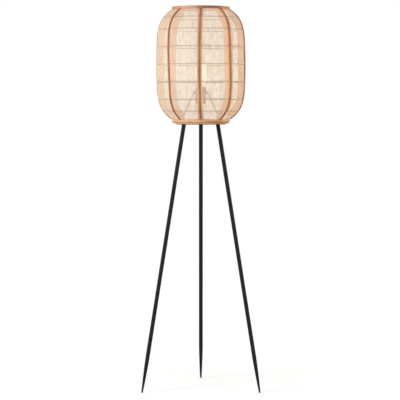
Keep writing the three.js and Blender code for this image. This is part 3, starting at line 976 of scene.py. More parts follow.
def make_gauze(name):
    material, tree, shader = new_material(name)
    weave = use(tree, plain_weave, Map=read_map(tree))
    tone = use(tree, slow_tone, Place=read_place(tree), Size=gauze_patch)["Tone"]
    depth = weigh(tree, slub_share, weave["Slubs"], tone)
    fill(shader, Base_Color=mix_colours(tree, depth, yarn_pale, yarn_deep))
    fill(shader, Roughness=yarn_roughness, Sheen_Weight=yarn_sheen)
    raise_bumps(tree, shader, weave["Height"], yarn_relief)
    through = mix_colours(tree, depth, yarn_through, yarn_deep)
    soaked = add(tree, "ShaderNodeBsdfTranslucent", {"Color": through})
    yarn = mix_shaders(tree, through_share, shader, soaked)
    gaps = add(tree, "ShaderNodeBsdfTransparent")
    open_weave = mix_shaders(tree, weave["Cover"], gaps, yarn)
    fill(tree.nodes["Material Output"], Surface=open_weave.outputs[0])
    return material


gauze = make_gauze("natural gauze")
print("gauze:", gauze.name, "with", len(gauze.node_tree.nodes), "nodes")

# %% [markdown]
# ## The cover
#
# One width of gauze goes round the frame, with its edges under the end hoops and its join under
# the strip at the back. It is held out by the thin hoops and dips a little between them, by
# less than a millimetre. A cloth simulation would only find the same tight skin, so the dips
# are drawn straight into the mesh. Its width, its length and the area of its own mesh are
# worked out and printed.

# %% The gauze cover
cover_depth = 0.0004
cover_sides = 160
cover_steps = 72
cover_dip = 0.0007
hoop_shares = [-1, -0.856, -0.637, -0.318, 0, 0.318, 0.637, 0.856, 1]


def dip_at(share):
    """How far the gauze dips between the two hoops around a share."""
    for lower, upper in zip(hoop_shares, hoop_shares[1:]):
        if lower <= share <= upper:
            return cover_dip * math.sin(math.pi * (share - lower) / (upper - lower))
    return 0


def make_cover():
    outline = [barrel(share, cover_depth + dip_at(share)) for share in even_shares(cover_steps)]
    cover = turned("gauze_cover", outline, cover_sides, closed=False)
    area = sum(face.area for face in cover.data.polygons)
    length = sum(math.dist(here, there) for here, there in zip(outline, outline[1:]))
    width = 2 * math.pi * max(outline)[0]
    stand_for(cover, "linen_cover", gauze)
    return width, length, area


cover_flat = make_cover()
print("gauze cut:", [round(size, 4) for size in cover_flat])

# %% [markdown]
# ## Split strips
#
# A half-round strip of split rattan runs down the outside over each rib, and hides where the
# gauze is glued. It is flat below and domed above, a little thicker where a leaf once grew. A
# bevelled curve would have an even, machine-made section, so the section is carried down the
# barrel and swells at each knot.

# %% Bends of the ribs
ribs = [name.removeprefix("rib_strip_") for name in nodes if name.startswith("rib_strip_")]
# Each bend has a bow and an S. The front ones follow the photograph, and the back one is guessed.
rib_bends = {
    "back": (0.004, 0),
    "front": (-0.0044, -0.0004),
    "front_left": (-0.0004, -0.0038),
    "front_right": (-0.0025, -0.0026),
}
most_bend = 0.002
wave_to_peak = 2.6
bend_chance = random.Random(11)

# The other ribs get a small bend by chance.
for place in ribs:
    rib_bends.setdefault(place, [bend_chance.uniform(-most_bend, most_bend) for _ in range(2)])


def bend_at(place, share):
    """How far a rib and its strip lean sideways at a share: one bow and one S."""
    bow, wave = rib_bends[place]
    return (bow + wave_to_peak * wave * share) * (1 - share**2)


print("bows of the ribs:", {place: round(bend[0], 4) for place, bend in rib_bends.items()})


# %% Knots along a stick
knot_reach = 0.0035
knot_gap = (0.15, 0.23)
first_knot = 0.02


def knots_along(length, seed):
    """Places of the knots along a stick."""
    chance = random.Random(seed)
    place, places = chance.uniform(first_knot, knot_gap[0]), []
    while place < length:
        places.append(place)
        place += chance.uniform(*knot_gap)
    return places


def knot_at(place, places):
    """How much of a knot there is at a place, from 0 to 1."""
    return max([math.exp(-(((place - knot) / knot_reach) ** 2)) for knot in places] + [0])


print("knots on a stick of one metre:", len(knots_along(1, seed=0)))


# %% The strips over the ribs
strip_width = 0.008
strip_thickness = 0.0034
strip_steps = 90
dome_points = 9
dome_power = 0.85
knot_swell_share = 0.09
strip_waver = 0.0004
strip_waves = 5


def azimuth_of(node):
    """Azimuth of a measured piece, read from the middle of its box."""
    low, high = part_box(node)
    return math.atan2((low.x + high.x) / 2 - axis_x, axis_y - (low.y + high.y) / 2)


def make_strip(place, seed):
    azimuth = azimuth_of(f"rib_strip_{place}")
    shares = even_shares(strip_steps)
    middle = [Vector(barrel(share, 0)) for share in shares]
    along = running(middle, False)
    places = knots_along(along[-1], seed)
    rows, marks = [], []
    for share, distance in zip(shares, along):
        knot = knot_at(distance, places)
        swell = 1 + knot_swell_share * knot
        waver = strip_waver * math.sin(seed + strip_waves * distance / along[-1])
        lean = bend_at(place, share) + waver
        row = []
        for k in range(dome_points):
            turn = math.pi * k / (dome_points - 1)
            rise = strip_thickness * math.sin(turn) ** dome_power * swell
            side = strip_width / 2 * math.cos(turn) * swell + lean
            row.append(at(azimuth, *barrel(share, -rise), side))
        rows.append(row)
        marks.append(knot)
    strip = skin(f"split_strip_{place}", rows, marks=marks)
    return stand_for(strip, f"rib_strip_{place}", strip_cane)


for number, place in enumerate(ribs):
    make_strip(place, number)
print("strips:", ribs)

# %% [markdown]
# ## Bent ribs
#
# Behind the gauze stand eight flat slats, on edge, so their depth shows through it as pale
# bands that widen towards the sides of the shade. Each follows the barrel, has a notch for each
# thin hoop, and ends in straight tongues between the two end hoops. A curve with a flat section
# would turn its corners wrong where a tongue begins, so the slat is laid between its measured
# outer and inner lines. Those at the front and the left get a paler copy of the wood, which
# paints light, and the one at the front right a warmer copy, which paints the bulb's warm light,
# as their bands in the photograph are.

# %% The ribs
rib_rounding = 0.0009
rib_steps = 60
rib_last_share = 0.93
notch_depth = 0.0033
notch_half = 0.0021
notch_slope_share = 0.12
thin_hoop_shares = hoop_shares[1:-1]


def rib_sizes(node):
    """Depth of the rib's face below the gauze, its own depth, and its ends' radii and heights."""
    low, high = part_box(node)
    points = [v.co for v in nodes[node].data.vertices]
    tops = [point for point in points if point.z > high.z - seat]
    waist = [point for point in points if abs(point.z - barrel_middle) < 2 * notch_half]
    ends, middle = ([math.hypot(p.x - axis_x, p.y - axis_y) for p in part] for part in (tops, waist))
    return waist_radius - max(middle), max(middle) - min(middle), min(ends), max(ends), low.z, high.z


def rib_stations():
    """Shares down a rib, and how deep its face is notched there."""
    half = notch_half / half_barrel
    lean = half * notch_slope_share
    stations = [(share, 0) for share in even_shares(rib_steps)]
    for hoop in thin_hoop_shares:
        stations = [(share, cut) for share, cut in stations if abs(share - hoop) > 2 * half]
        stations += [(hoop + side * (half + lean), 0) for side in (-1, 1)]
        stations += [(hoop + side * (half - lean), notch_depth) for side in (-1, 1)]
    return sorted(stations)


def rib_lines():
    """Pairs of outer and inner points down a rib."""
    face, depth, inner, outer, bottom, top = rib_sizes("rib_right")
    pairs = []
    for share, cut in rib_stations():
        near = Vector(barrel(share, face + cut))
        back_share = max(-rib_last_share, min(rib_last_share, share))
        far = Vector(barrel(back_share, face + depth))
        if abs(share) > rib_last_share:
            edge = upper_edge - seat if share > 0 else lower_edge + seat
            left = (abs(share) - rib_last_share) / (1 - rib_last_share)
            far = far.lerp(Vector((inner, edge)), left)
        pairs.append((near, far))
    first = [(Vector((outer, z)), Vector((inner, z))) for z in (bottom, lower_edge + seat)]
    last = [(Vector((outer, z)), Vector((inner, z))) for z in (upper_edge - seat, top)]
    return first + pairs[1:-1] + last


def make_rib(place, pairs, thickness, finish):
    azimuth = azimuth_of(f"rib_{place}")
    rows = []
    for near, far in pairs:
        depth = (near - far).length
        half = thickness / 2
        corners = [(-half, 0), (half, 0), (half, depth), (-half, depth)]
        section = rounded(corners, rib_rounding)
        share = max(-1, min(1, (near.y - barrel_middle) / half_barrel))
        lean = bend_at(place, share)
        rows.append([at(azimuth, *far.lerp(near, rise / depth), side + lean) for side, rise in section])
    return stand_for(skin(f"bent_rib_{place}", rows), f"rib_{place}", finish)


rib_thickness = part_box("rib_right")[1].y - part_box("rib_right")[0].y
# Paler and warmer copies of the rib wood paint light on the front, left and front right ribs.
rib_woods_painted_light = {place: rib_wood_painted_light for place in ("front", "front_left", "left")}
rib_woods_painted_light["front_right"] = rib_wood_painted_warm_light
rib_pairs = rib_lines()
for place in ribs:
    make_rib(place, rib_pairs, rib_thickness, rib_woods_painted_light.get(place, rib_wood))
print("rib:", [round(size, 4) for size in rib_sizes("rib_right")], "thick", round(rib_thickness, 4))

# %% [markdown]
# ## Thin hoops
#
# Seven hoops of thin round cane lie in the ribs' notches, right behind the gauze. Each is one
# length bent round, and its ends are cut to long slopes that lie on each other. A torus would be
# too perfect: here the cane wavers a little between the ribs and thickens at its knots.

# %% The thin hoops
thin_diameter = 0.003
thin_sides = 8
thin_steps = 176
thin_overlap = 0.16
thin_waver = 0.0005
thin_waves = 5
thin_tip_share = 0.15
thin_starts = (2.3, 3.9)
thin_seed = 40


def make_thin_hoop(number):
    node = f"thin_hoop_{number}"
    _, outer, bottom, top = ring_sizes(node)
    radius, height = outer - thin_diameter / 2, (bottom + top) / 2
    chance = random.Random(thin_seed + number)
    start, phase = chance.uniform(*thin_starts), chance.uniform(0, 2 * math.pi)
    turn = 2 * math.pi + thin_overlap
    places = knots_along(radius * turn, number)
    rows, marks = [], []
    for k in range(thin_steps + 1):
        share = k / thin_steps
        azimuth = start + turn * share
        knot = knot_at(radius * turn * share, places)
        thick = thin_diameter / 2 * (1 + knot_swell_share * knot)
        waver = thin_waver * math.sin(thin_waves * azimuth + phase)
        grown = min(1, max(thin_tip_share, turn * share / thin_overlap))
        left = min(1, max(thin_tip_share, turn * (1 - share) / thin_overlap))
        rise = thick * grown * left
        centre = height + waver + thick * (grown - left)
        row = []
        for side in range(thin_sides):
            angle = 2 * math.pi * side / thin_sides
            row.append(at(azimuth, radius + thick * math.cos(angle), centre + rise * math.sin(angle)))
        rows.append(row)
        marks.append(knot)
    return stand_for(skin(f"thin_cane_hoop_{number}", rows, marks=marks), node, thin_cane)


for number in range(1, len(thin_hoop_shares) + 1):
    make_thin_hoop(number)
print("thin hoops:", len(thin_hoop_shares))

# %% [markdown]
# ## End hoops
#
# Two hoops of flat rattan close each end of the shade, one outside the rib ends and one inside
# them. Each is a strip bent round until its ends meet in a long slanted joint, a scarf. A turned
# ring would have no joint. So the strip is laid once round and a little more, and its two ends
# thin out over each other. Its outer face is slightly crowned, as split rattan is. Both outer
# hoops carry painted shade towards the front right. It is a mark on the mesh, strongest at one
# azimuth, and on the lower hoop it fades upwards, so that hoop is darker at the bottom.

# %% The end hoops
hoop_crown = 0.0008
hoop_rounding = 0.0011
hoop_steps = 140
scarf_steps = 8
scarf_reach = 0.045
scarf_tip_share = 0.12
least_share = 0.03
seed_scale = 10
side_shade_steepness = 4
# Each patch of painted shade has its middle, its reach and its depth.
no_side_shade = (0, 1, 0)
top_side_shade = (0.32, 0.47, 1.4)
bottom_side_shade = (0.42, 0.47, 1.3)
bottom_fade = 0.85


def hoop_turns(lap):
    """Angles along the strip: fine steps where its ends overlap, even ones between."""
    first = [lap * k / scarf_steps for k in range(scarf_steps + 1)]
    between = [lap + (2 * math.pi - lap) * k / hoop_steps for k in range(hoop_steps)]
    return first[:-1] + between + [2 * math.pi + turn for turn in first]


def side_shade_at(azimuth, side_shade):
    """How dark the painted shade is at an azimuth."""
    middle, reach, depth = side_shade
    away = math.remainder(azimuth - middle, 2 * math.pi) / reach
    return depth * math.exp(-(away**side_shade_steepness))


def make_end_hoop(node, finish, start, side_shade, fade):
    """A hoop whose joint starts at an azimuth, with painted shade that fades upwards by a share."""
    bore, outer, bottom, top = ring_sizes(node)
    thickness, middle = outer - bore, (bottom + top) / 2
    lap = scarf_reach / outer
    turns = hoop_turns(lap)
    rows = []
    for turn in turns:
        grown = max(least_share, (1 - scarf_tip_share) * turn / lap) if turn < lap else 1
        left = (2 * math.pi + lap - turn) / lap
        shrunk = min(1, scarf_tip_share + (1 - scarf_tip_share) * left)
        inner, face = outer - thickness * shrunk, bore + thickness * grown
        crown = hoop_crown * grown
        crowned = [(face - crown, bottom), (face, middle), (face - crown, top)]
        section = rounded([(inner, bottom), *crowned, (inner, top)], hoop_rounding)
        rows.append([at(start + turn, *point) for point in section])
    places = knots_along(2 * math.pi * outer, int(seed_scale * start))
    # Each row's mark is its knot or the painted shade at its azimuth, whichever is stronger.
    marks = [max(knot_at(outer * turn, places), side_shade_at(start + turn, side_shade)) for turn in turns]
    hoop = skin(f"cane_{node}", rows, marks=marks)
    for vertex, mark in zip(hoop.data.vertices, hoop.data.attributes[knot_and_shade_mark].data):
        mark.value *= 1 - fade * (vertex.co.z - bottom) / (top - bottom)
    return stand_for(hoop, node, finish)


# Each hoop has its cane, the azimuth of its joint, its painted shade, and how far that fades.
end_hoops = {
    "top_hoop_outer": (hoop_cane, 2.2, top_side_shade, 0),
    "top_hoop_inner": (hoop_cane, 1.3, no_side_shade, 0),
    "bottom_hoop_outer": (pale_hoop_cane, 3.9, bottom_side_shade, bottom_fade),
    "bottom_hoop_inner": (pale_hoop_cane, 5.1, no_side_shade, 0),
}
for node, recipe in end_hoops.items():
    make_end_hoop(node, *recipe)
print("end hoops:", len(end_hoops))

# %% [markdown]
# Small domed tacks go through the outer hoops into each rib end. They are one mesh for each
# hoop, made of turned heads that are then joined.

# %% Joining pieces, and the tacks
tack_radius = 0.0011
tack_rise = 0.0005
tack_dome_shares = (0.6, 0.8)
tack_sides = 10


def join(name, parts):
    """One piece from several, with their maps and finishes kept."""
    mesh = bmesh.new()
    for part in parts:
        mesh.from_mesh(part.data)
        bpy.data.objects.remove(part)
    return finish_mesh(name, mesh)


def facing(point, direction):
    """Frame at a point, with its Z along a direction."""
    return Matrix.Translation(point) @ direction.to_track_quat("Z", "Y").to_matrix().to_4x4()


def make_tacks(node, name):
    _, outer, bottom, top = ring_sizes(node)
    across, up = tack_dome_shares
    head = [(0, tack_rise), (tack_radius * across, tack_rise * up), (tack_radius, -tack_rise)]
    heads = []
    for place in ribs:
        azimuth = azimuth_of(f"rib_strip_{place}")
        stand = facing(at(azimuth, outer, (bottom + top) / 2), radial(azimuth))
        heads.append(turned(f"head_{place}", head, tack_sides, closed=False, stand=stand))
    ride_along(join(name, heads), node, zinc_plate)


make_tacks("top_hoop_outer", "top_hoop_tacks")
make_tacks("bottom_hoop_outer", "bottom_hoop_tacks")
print("tacks on both outer hoops, one to a rib")

# %% [markdown]
# ## Base ring
#
# A turned wooden ring closes the bottom. Its flange lies under the hoops and the rib ends, with
# a lip below it and a groove above its rim, which shows as a dark line under the outer hoop.
# The groove, the top under the hoops, the underside of the flange and the lip are darkened with
# painted shade, and the whole ring is darker towards the front right, which is painted shade
# too. The legs and the spider's wires go into holes in it. The ring is carried round first and
# then each hole is cut with the shape of the tool that would drill it. The tools are turned on
# the same axes as the legs, so the holes can't miss them.

# %% Tools for the holes
leg_places = ("front_left", "front_right", "rear")
hole_room = 0.0004
overrun = 0.005
hole_sides = 32
bush_wall = 0.0018
bush_flange = 0.002
wire_radius = 0.002
wire_foot_radius = 0.0905
wire_peg = 0.005


def leg_stand(place):
    """Frame whose origin is where a leg's axis meets the floor, with Z up along the leg."""
    joint = next(one for one in frame["joints"] if one["name"] == f"leg_{place}_turn")
    return facing(Vector(joint["pos_m"]), -Vector(joint["axis"]))


stands = {place: leg_stand(place) for place in leg_places}


def hole_tool(place):
    """Stepped tool for one leg's socket, the hole of its bush and the recess of the flange."""
    stand = stands[place]
    _, tube, _, tube_top = ring_sizes(f"leg_{place}_tube", stand)
    bore, flange, _, bush_top = ring_sizes(f"leg_{place}_bush", stand)
    bush = bore + bush_wall
    flange_bottom = bush_top - bush_flange
    start, stop = tube_top - overrun, bush_top + overrun
    steps = [
        (0, start), (tube, start), (tube, tube_top), (bush, tube_top),
        (bush, flange_bottom), (flange, flange_bottom), (flange, stop), (0, stop),
    ]
    wider = [(radius + hole_room if radius else 0, height) for radius, height in steps]
    return turned(f"tool_{place}", wider, hole_sides, closed=False, stand=stand)


def wire_azimuth(place):
    """Azimuth of a leg, and of the spider's wire above it."""
    foot = stands[place].translation
    return math.atan2(foot.x - axis_x, axis_y - foot.y)


def wire_tool(place, top):
    """Plain tool for the hole that one wire's foot stands in."""
    start, stop, radius = top - wire_peg, top + overrun, wire_radius + hole_room
    hole = [(0, start), (radius, start), (radius, stop), (0, stop)]
    stand = Matrix.Translation(at(wire_azimuth(place), wire_foot_radius, 0))
    return turned(f"wire_tool_{place}", hole, hole_sides, closed=False, stand=stand)


print("wires stand at", [round(math.degrees(wire_azimuth(place))) for place in leg_places], "degrees")


# %% The ring and its holes
ring_rounding = 0.0012
lip_height = 0.004
groove_height = 0.0014
groove_depth = 0.003
# The base ring's painted shade: the whole ring towards the front right, and deeper in the groove, under the
# flange and on the lip.
base_side_shade = (0.9, 0.45, 0.9)
groove_shade_depth = 2.3
ring_turns = 120


def cut_away(piece, tools):
    """Cuts the tools' shapes out of a piece, for good."""
    for tool in tools:
        cut = piece.modifiers.new("hole", "BOOLEAN")
        cut.operation, cut.object, cut.solver = "DIFFERENCE", tool, "EXACT"
    bpy.context.view_layer.update()
    seen = piece.evaluated_get(bpy.context.evaluated_depsgraph_get())
    mesh = bpy.data.meshes.new_from_object(seen)
    piece.modifiers.clear()
    piece.data = mesh
    for tool in tools:
        bpy.data.objects.remove(tool)
    mesh.shade_smooth()
    mesh.set_sharp_from_angle(angle=sharp_angle)


def make_base():
    bore, outer, bottom, top = ring_sizes("base_ring")
    lip = ring_sizes("bottom_hoop_inner")[1]
    step, groove, shelf = bottom + lip_height, outer - groove_depth, top - groove_height
    corners = [
        (bore, bottom), (lip, bottom), (lip, step), (outer, step),
        (outer, shelf), (groove, shelf), (groove, top), (bore, top),
    ]
    base = turned("turned_base_ring", rounded(corners, ring_rounding), ring_turns)
    tools = [hole_tool(place) for place in leg_places]
    tools += [wire_tool(place, top) for place in leg_places]
    cut_away(base, tools)
    nearest, furthest = lip - groove_depth / 2, outer - groove_depth / 2
    # Each point of the ring gets painted shade towards the front right, and the groove, the top under the
    # hoops, the underside of the flange and the lip get deeper painted shade.
    for vertex, mark in zip(base.data.vertices, base.data.attributes[knot_and_shade_mark].data):
        x, y = vertex.co.x - axis_x, vertex.co.y - axis_y
        mark.value = side_shade_at(math.atan2(x, -y), base_side_shade)
        if nearest < math.hypot(x, y) < furthest and not step < vertex.co.z < shelf:
            mark.value = groove_shade_depth
    return stand_for(base, "base_ring", base_wood)


make_base()
print("base ring:", [round(size, 4) for size in ring_sizes("base_ring")])

# %% [markdown]
# ## Legs
#
# A leg is one steel tube, straight for most of its length and drawn in to a blunt point at the
# foot. It screws into the base ring with a stud, and a rubber pad closes the point and stands
# level on the floor. A cone would be too plain, because the real taper is a curve that grows
# steeper towards the tip. So the tube is turned from an outline whose taper follows a power.

# %% Tubes and pads
leg_tip = 0.00325
leg_wall = 0.0012
leg_taper = 0.138
taper_power = 1.4
taper_steps = 14
peg_bore_step = 2
leg_sides = 32
pad_edge = 0.0007
pad_peg = 0.002


def leg_width(height, radius):
    """Outer radius of a leg at a height along it."""
    left = max(0, 1 - height / leg_taper)
    return leg_tip + (radius - leg_tip) * (1 - left**taper_power)


def make_tube(place):
    node, stand = f"leg_{place}_tube", stands[place]
    peg_bore, radius, bottom, top = ring_sizes(node, stand)
    steps = [bottom + (leg_taper - bottom) * k / taper_steps for k in range(taper_steps + 1)]
    outside = [(leg_width(height, radius), height) for height in steps]
    bore = radius - leg_wall
    inside = [(bore, top), (bore, leg_taper), (peg_bore, steps[peg_bore_step]), (peg_bore, bottom)]
    tube = turned(f"black_tube_{place}", outside + [(radius, top)] + inside, leg_sides, stand=stand)
    return stand_for(tube, node, black_coat)


def make_pad(place):
    node, stand = f"leg_{place}_pad", stands[place]
    _, radius, tube_bottom, _ = ring_sizes(f"leg_{place}_tube", stand)
    pad_top, peg_top = tube_bottom - seat, ring_sizes(node, stand)[3]
    rim = leg_width(pad_top, radius)
    outline = [
        (0, 0), (leg_tip - pad_edge, 0), (leg_tip, pad_edge), (rim, pad_top - seat), (rim - seat, pad_top),
        (pad_peg, pad_top), (pad_peg, peg_top - seat), (pad_peg - seat, peg_top), (0, peg_top),
    ]
    lean = stand.to_3x3()

    def level(azimuth, reach, height):
        """Slides the underside along the leg until it is level with the floor."""
        lift = -(lean @ radial(azimuth)).z * reach / lean.col[2].z
        return reach, height + lift * max(0, 1 - height / pad_top)

    pad = turned(f"rubber_pad_{place}", outline, leg_sides, level, closed=False, stand=stand)
    return stand_for(pad, node, black_rubber)


for place in leg_places:
    make_tube(place)
    make_pad(place)
print("legs:", [round(size, 4) for size in ring_sizes("leg_rear_tube", stands["rear"])])

# %% [markdown]
# A thread is a ridge that climbs one pitch on each turn. A turned outline with fine steps can
# carry it: each point moves inwards by how far it is from the ridge, and that depends on its
# height less its share of the turn. The same change cuts the stud, the bush, the gland, the
# lampholder's skirt and, with a rounder wave, the bulb's cap and shell.

# %% Threads
steps_to_pitch = 6


def threaded(pitch, depth, start, stop, round_share=0):
    """Change for a turned outline that cuts a thread between two heights, inwards or outwards."""
    def cut(azimuth, radius, height):
        if not start < height < stop:
            return radius, height
        phase = (height / pitch - azimuth / (2 * math.pi)) % 1
        sharp = abs(2 * phase - 1)
        soft = (1 + math.cos(2 * math.pi * phase)) / 2
        room = min(1, (height - start) / pitch, (stop - height) / pitch)
        return radius - depth * room * (sharp + (soft - sharp) * round_share), height
    return cut


def climb(start, stop, pitch):
    """Heights between two ends, fine enough to carry a thread."""
    count = max(1, round((stop - start) / pitch * steps_to_pitch))
    return [start + (stop - start) * k / count for k in range(count + 1)]


print("points to one pitch of a thread:", steps_to_pitch)


# %% Studs and bushes
stud_pitch = 0.00125
stud_cut = 0.00075
stud_radius = 0.004
bush_edge = 0.0004
bush_cut_share = 0.6
bush_inside_share = 0.2
fitting_sides = 24


def make_stud(place):
    node, stand = f"leg_{place}_stud", stands[place]
    _, plug, bottom, top = ring_sizes(node, stand)
    shoulder = ring_sizes(f"leg_{place}_tube", stand)[3]
    threads = [(stud_radius, height) for height in climb(shoulder, top - stud_cut, stud_pitch)]
    outline = [
        (0, bottom), (plug - stud_cut, bottom), (plug, bottom + stud_cut), (plug, shoulder),
        *threads, (stud_radius - stud_cut, top), (0, top),
    ]
    change = threaded(stud_pitch, stud_cut, shoulder, top - stud_cut)
    stud = turned(f"threaded_stud_{place}", outline, fitting_sides, change, closed=False, stand=stand)
    return stand_for(stud, node, zinc_plate)


def make_bush(place):
    node, stand = f"leg_{place}_bush", stands[place]
    bore, flange, bottom, top = ring_sizes(node, stand)
    threads = [(bore, height) for height in reversed(climb(bottom, top, stud_pitch))]
    body = [
        (bore, bottom), (bore + bush_wall, bottom), (bore + bush_wall, top - bush_flange),
        (flange, top - bush_flange), (flange, top), (bore, top),
    ]
    outline = rounded(body, bush_edge)[corner_points:-corner_points] + threads
    change = threaded(stud_pitch, -stud_cut * bush_cut_share, bottom, top)
    inner = bore + bush_wall * bush_inside_share

    def only_inside(azimuth, radius, height):
        return change(azimuth, radius, height) if radius < inner else (radius, height)

    bush = turned(f"threaded_bush_{place}", outline, fitting_sides, only_inside, stand=stand)
    return stand_for(bush, node, zinc_plate)


for place in leg_places:
    make_stud(place)
    make_bush(place)
print("studs reach", round(ring_sizes("leg_rear_stud", stands["rear"])[3], 4), "along the leg")

# %% [markdown]
# ## Spider
#
# Three bent steel wires stand in the base ring and meet at a flat ring that carries the
# lampholder. Each wire thickens where it is welded on and ends in a small bead of weld. The
# wires are tubes carried along their bent line, with a radius for each point of it. A curve
# object could do that too. This helper also writes the map, which the bulb's coil needs.

# %% Tubes along a line
tube_sides = 12


def tube(name, path, radii, sides=tube_sides):
    """Round tube along a line of points, with a radius for each."""
    count = len(path)
    across = None
    rows = []
    for k, (point, radius) in enumerate(zip(path, radii)):
        along = (path[min(k + 1, count - 1)] - path[max(k - 1, 0)]).normalized()
        across = (across or along.orthogonal()) - along * along.dot(across or along.orthogonal())
        across.normalize()
        other = along.cross(across)
        turns = [2 * math.pi * side / sides for side in range(sides)]
        rows.append([point + (across * math.cos(turn) + other * math.sin(turn)) * radius for turn in turns])
    return skin(name, rows)


print("a tube has", tube_sides, "sides where nothing else is asked")


# %% The wires and their ring
wire_upright = 0.004
wire_bend = 0.012
wire_steps = 8
weld_radius = 0.0027
weld_length = 0.009
weld_place_shares = (1, 0.6, 0.3, 0)
weld_swell_share = 1.25
weld_tip_share = 0.8
carrier_edge = 0.0006


def make_wire(place):
    azimuth = wire_azimuth(place)
    base_top = ring_sizes("base_ring")[3]
    _, rim, ring_bottom, ring_top = ring_sizes("spider_ring")
    end = Vector((rim + wire_radius + seat, (ring_bottom + ring_top) / 2))
    corner = Vector((wire_foot_radius, base_top + wire_upright))
    line = rounded([(wire_foot_radius, base_top - wire_peg), corner, end], wire_bend, False, wire_steps)
    way = (line[-1] - line[-2]).normalized()
    last = line.pop()
    radii = [wire_radius] * len(line)
    line += [last - way * weld_length * share for share in weld_place_shares]
    radii += [wire_radius, wire_radius * weld_swell_share, weld_radius, weld_radius * weld_tip_share]
    wire = tube(f"bent_wire_{place}", [at(azimuth, *point) for point in line], radii)
    return stand_for(wire, f"spider_wire_{place}", black_coat)


def make_carrier():
    bore, outer, bottom, top = ring_sizes("spider_ring")
    corners = [(bore, bottom), (outer, bottom), (outer, top), (bore, top)]
    carrier = turned("carrier_ring", rounded(corners, carrier_edge), ring_turns)
    return stand_for(carrier, "spider_ring", black_coat)


for place in leg_places:
    make_wire(place)
make_carrier()
print("spider carries its ring at", round(ring_sizes("spider_ring")[2], 4))

# %% [markdown]
# ## Lampholder
#
# The lampholder is a moulded cap and a skirt with a thread outside. The skirt's collar presses
# up against the carrier ring and a ring nut holds it from above. Inside sit the ceramic core,
# the rolled brass shell and the middle contact. All but the contact is turned. Grip ribs,
# scallops and flats are small changes of the radius round the axis. The nut is of a darker
# plastic than the cap, as the photograph shows through the gauze.

# %% Grips
grip_from = 0.02
nut_flats = 6


def fluted(count, depth, low, high):
    """Change that cuts soft grooves along the outside, between two heights."""
    def cut(azimuth, radius, height):
        if low < height < high and radius > grip_from:
            radius -= depth * (1 - math.cos(count * azimuth)) / 2
        return radius, height
    return cut


def hexed(across, low, high):
    """Change that cuts flats for a spanner on the outside, between two heights."""
    def cut(azimuth, radius, height):
        if low < height < high:
            half = math.pi / nut_flats
            off = (azimuth + half) % (2 * half) - half
            radius = min(radius, across / math.cos(off))
        return radius, height
    return cut


print("grips are cut outside a radius of", grip_from)


# %% Skirt, cap and ring nut
holder_radius = 0.0205
holder_wall = 0.0015
skirt_pitch = 0.0028
skirt_cut = 0.0009
skirt_soft_share = 0.5
skirt_edge = 0.0005
flange_thickness = 0.002
cap_chamfer = 0.006
cap_edge = 0.0012
cap_ribs = 24
cap_rib_depth = 0.0006
nut_edge = 0.0009
nut_scallops = 12
nut_scallop_depth = 0.0016
round_sides = 96


def make_skirt():
    bore, flange, bottom, rim = ring_sizes("holder_skirt")
    flange_top = ring_sizes("spider_ring")[2] - seat
    flange_bottom = flange_top - flange_thickness
    start = ring_sizes("spider_ring")[3]
    plain = [
        (bore, bottom), (holder_radius, bottom), (holder_radius, flange_bottom),
        (flange, flange_bottom), (flange, flange_top), (holder_radius, flange_top),
    ]
    lower = rounded(plain, skirt_edge)[corner_points:-corner_points]
    threads = [(holder_radius, height) for height in climb(flange_top, rim, skirt_pitch)]
    outline = [(bore, bottom)] + lower + threads + [(bore, rim)]
    change = threaded(skirt_pitch, skirt_cut, start, rim, skirt_soft_share)

    def outside_only(azimuth, radius, height):
        return change(azimuth, radius, height) if radius > bore + seat else (radius, height)

    skirt = turned("threaded_skirt", outline, round_sides, outside_only)
    return stand_for(skirt, "holder_skirt", brown_plastic)


def make_cap():
    hole, outer, bottom, top = ring_sizes("holder_cap")
    shoulder = outer - cap_chamfer
    inner, floor = outer - holder_wall, bottom + holder_wall
    corners = [
        (hole, bottom), (shoulder, bottom), (outer, bottom + cap_chamfer), (outer, top),
        (inner, top), (inner, floor + cap_chamfer), (shoulder, floor), (hole, floor),
    ]
    change = fluted(cap_ribs, cap_rib_depth, bottom + cap_chamfer, top - holder_wall)
    cap = turned("ribbed_cap", rounded(corners, cap_edge), round_sides, change)
    return stand_for(cap, "holder_cap", brown_plastic)


def make_nut():
    bore, outer, bottom, top = ring_sizes("holder_ring_nut")
    outline = rounded([(bore, bottom), (outer, bottom), (outer, top), (bore, top)], nut_edge)
    change = fluted(nut_scallops, nut_scallop_depth, bottom, top)
    nut = turned("scalloped_ring_nut", outline, round_sides, change)
    return stand_for(nut, "holder_ring_nut", dark_plastic)


make_skirt()
make_cap()
make_nut()
print("lampholder starts at", round(ring_sizes("holder_cap")[2], 4))


# %% Core, shell and gland
core_groove = 0.0012
core_groove_shares = (0.94, 0.92, 0.84, 0.82)
core_edge = 0.0005
shell_sheet = 0.0006
shell_pitch = 0.00363
shell_wave = 0.0011
gland_edge = 0.0015
gland_corner = 0.0006
gland_flat_share = 0.93
gland_nipple = 0.006
nipple_radius = 0.005
nipple_cut = 0.0005
nipple_pitch = 0.0015


def make_core():
    _, outer, bottom, top = ring_sizes("holder_core")
    groove = top - core_groove
    across = [outer * share for share in core_groove_shares]
    cut = zip(across, (top, groove, groove, top))
    corners = [(0, bottom), (outer, bottom), (outer, top), *cut, (0, top)]
    core = turned("ceramic_core", rounded(corners, core_edge, False), round_sides, closed=False)
    return stand_for(core, "holder_core", white_ceramic)


def make_shell():
    bore, _, bottom, top = ring_sizes("holder_screw_shell")
    heights = climb(bottom, top, shell_pitch)
    outline = [(bore, height) for height in reversed(heights)]
    outline += [(bore + shell_sheet, height) for height in heights]
    change = threaded(shell_pitch, -shell_wave, bottom, top, 1)
    shell = turned("rolled_shell", outline, round_sides, change)
    return stand_for(shell, "holder_screw_shell", brass)


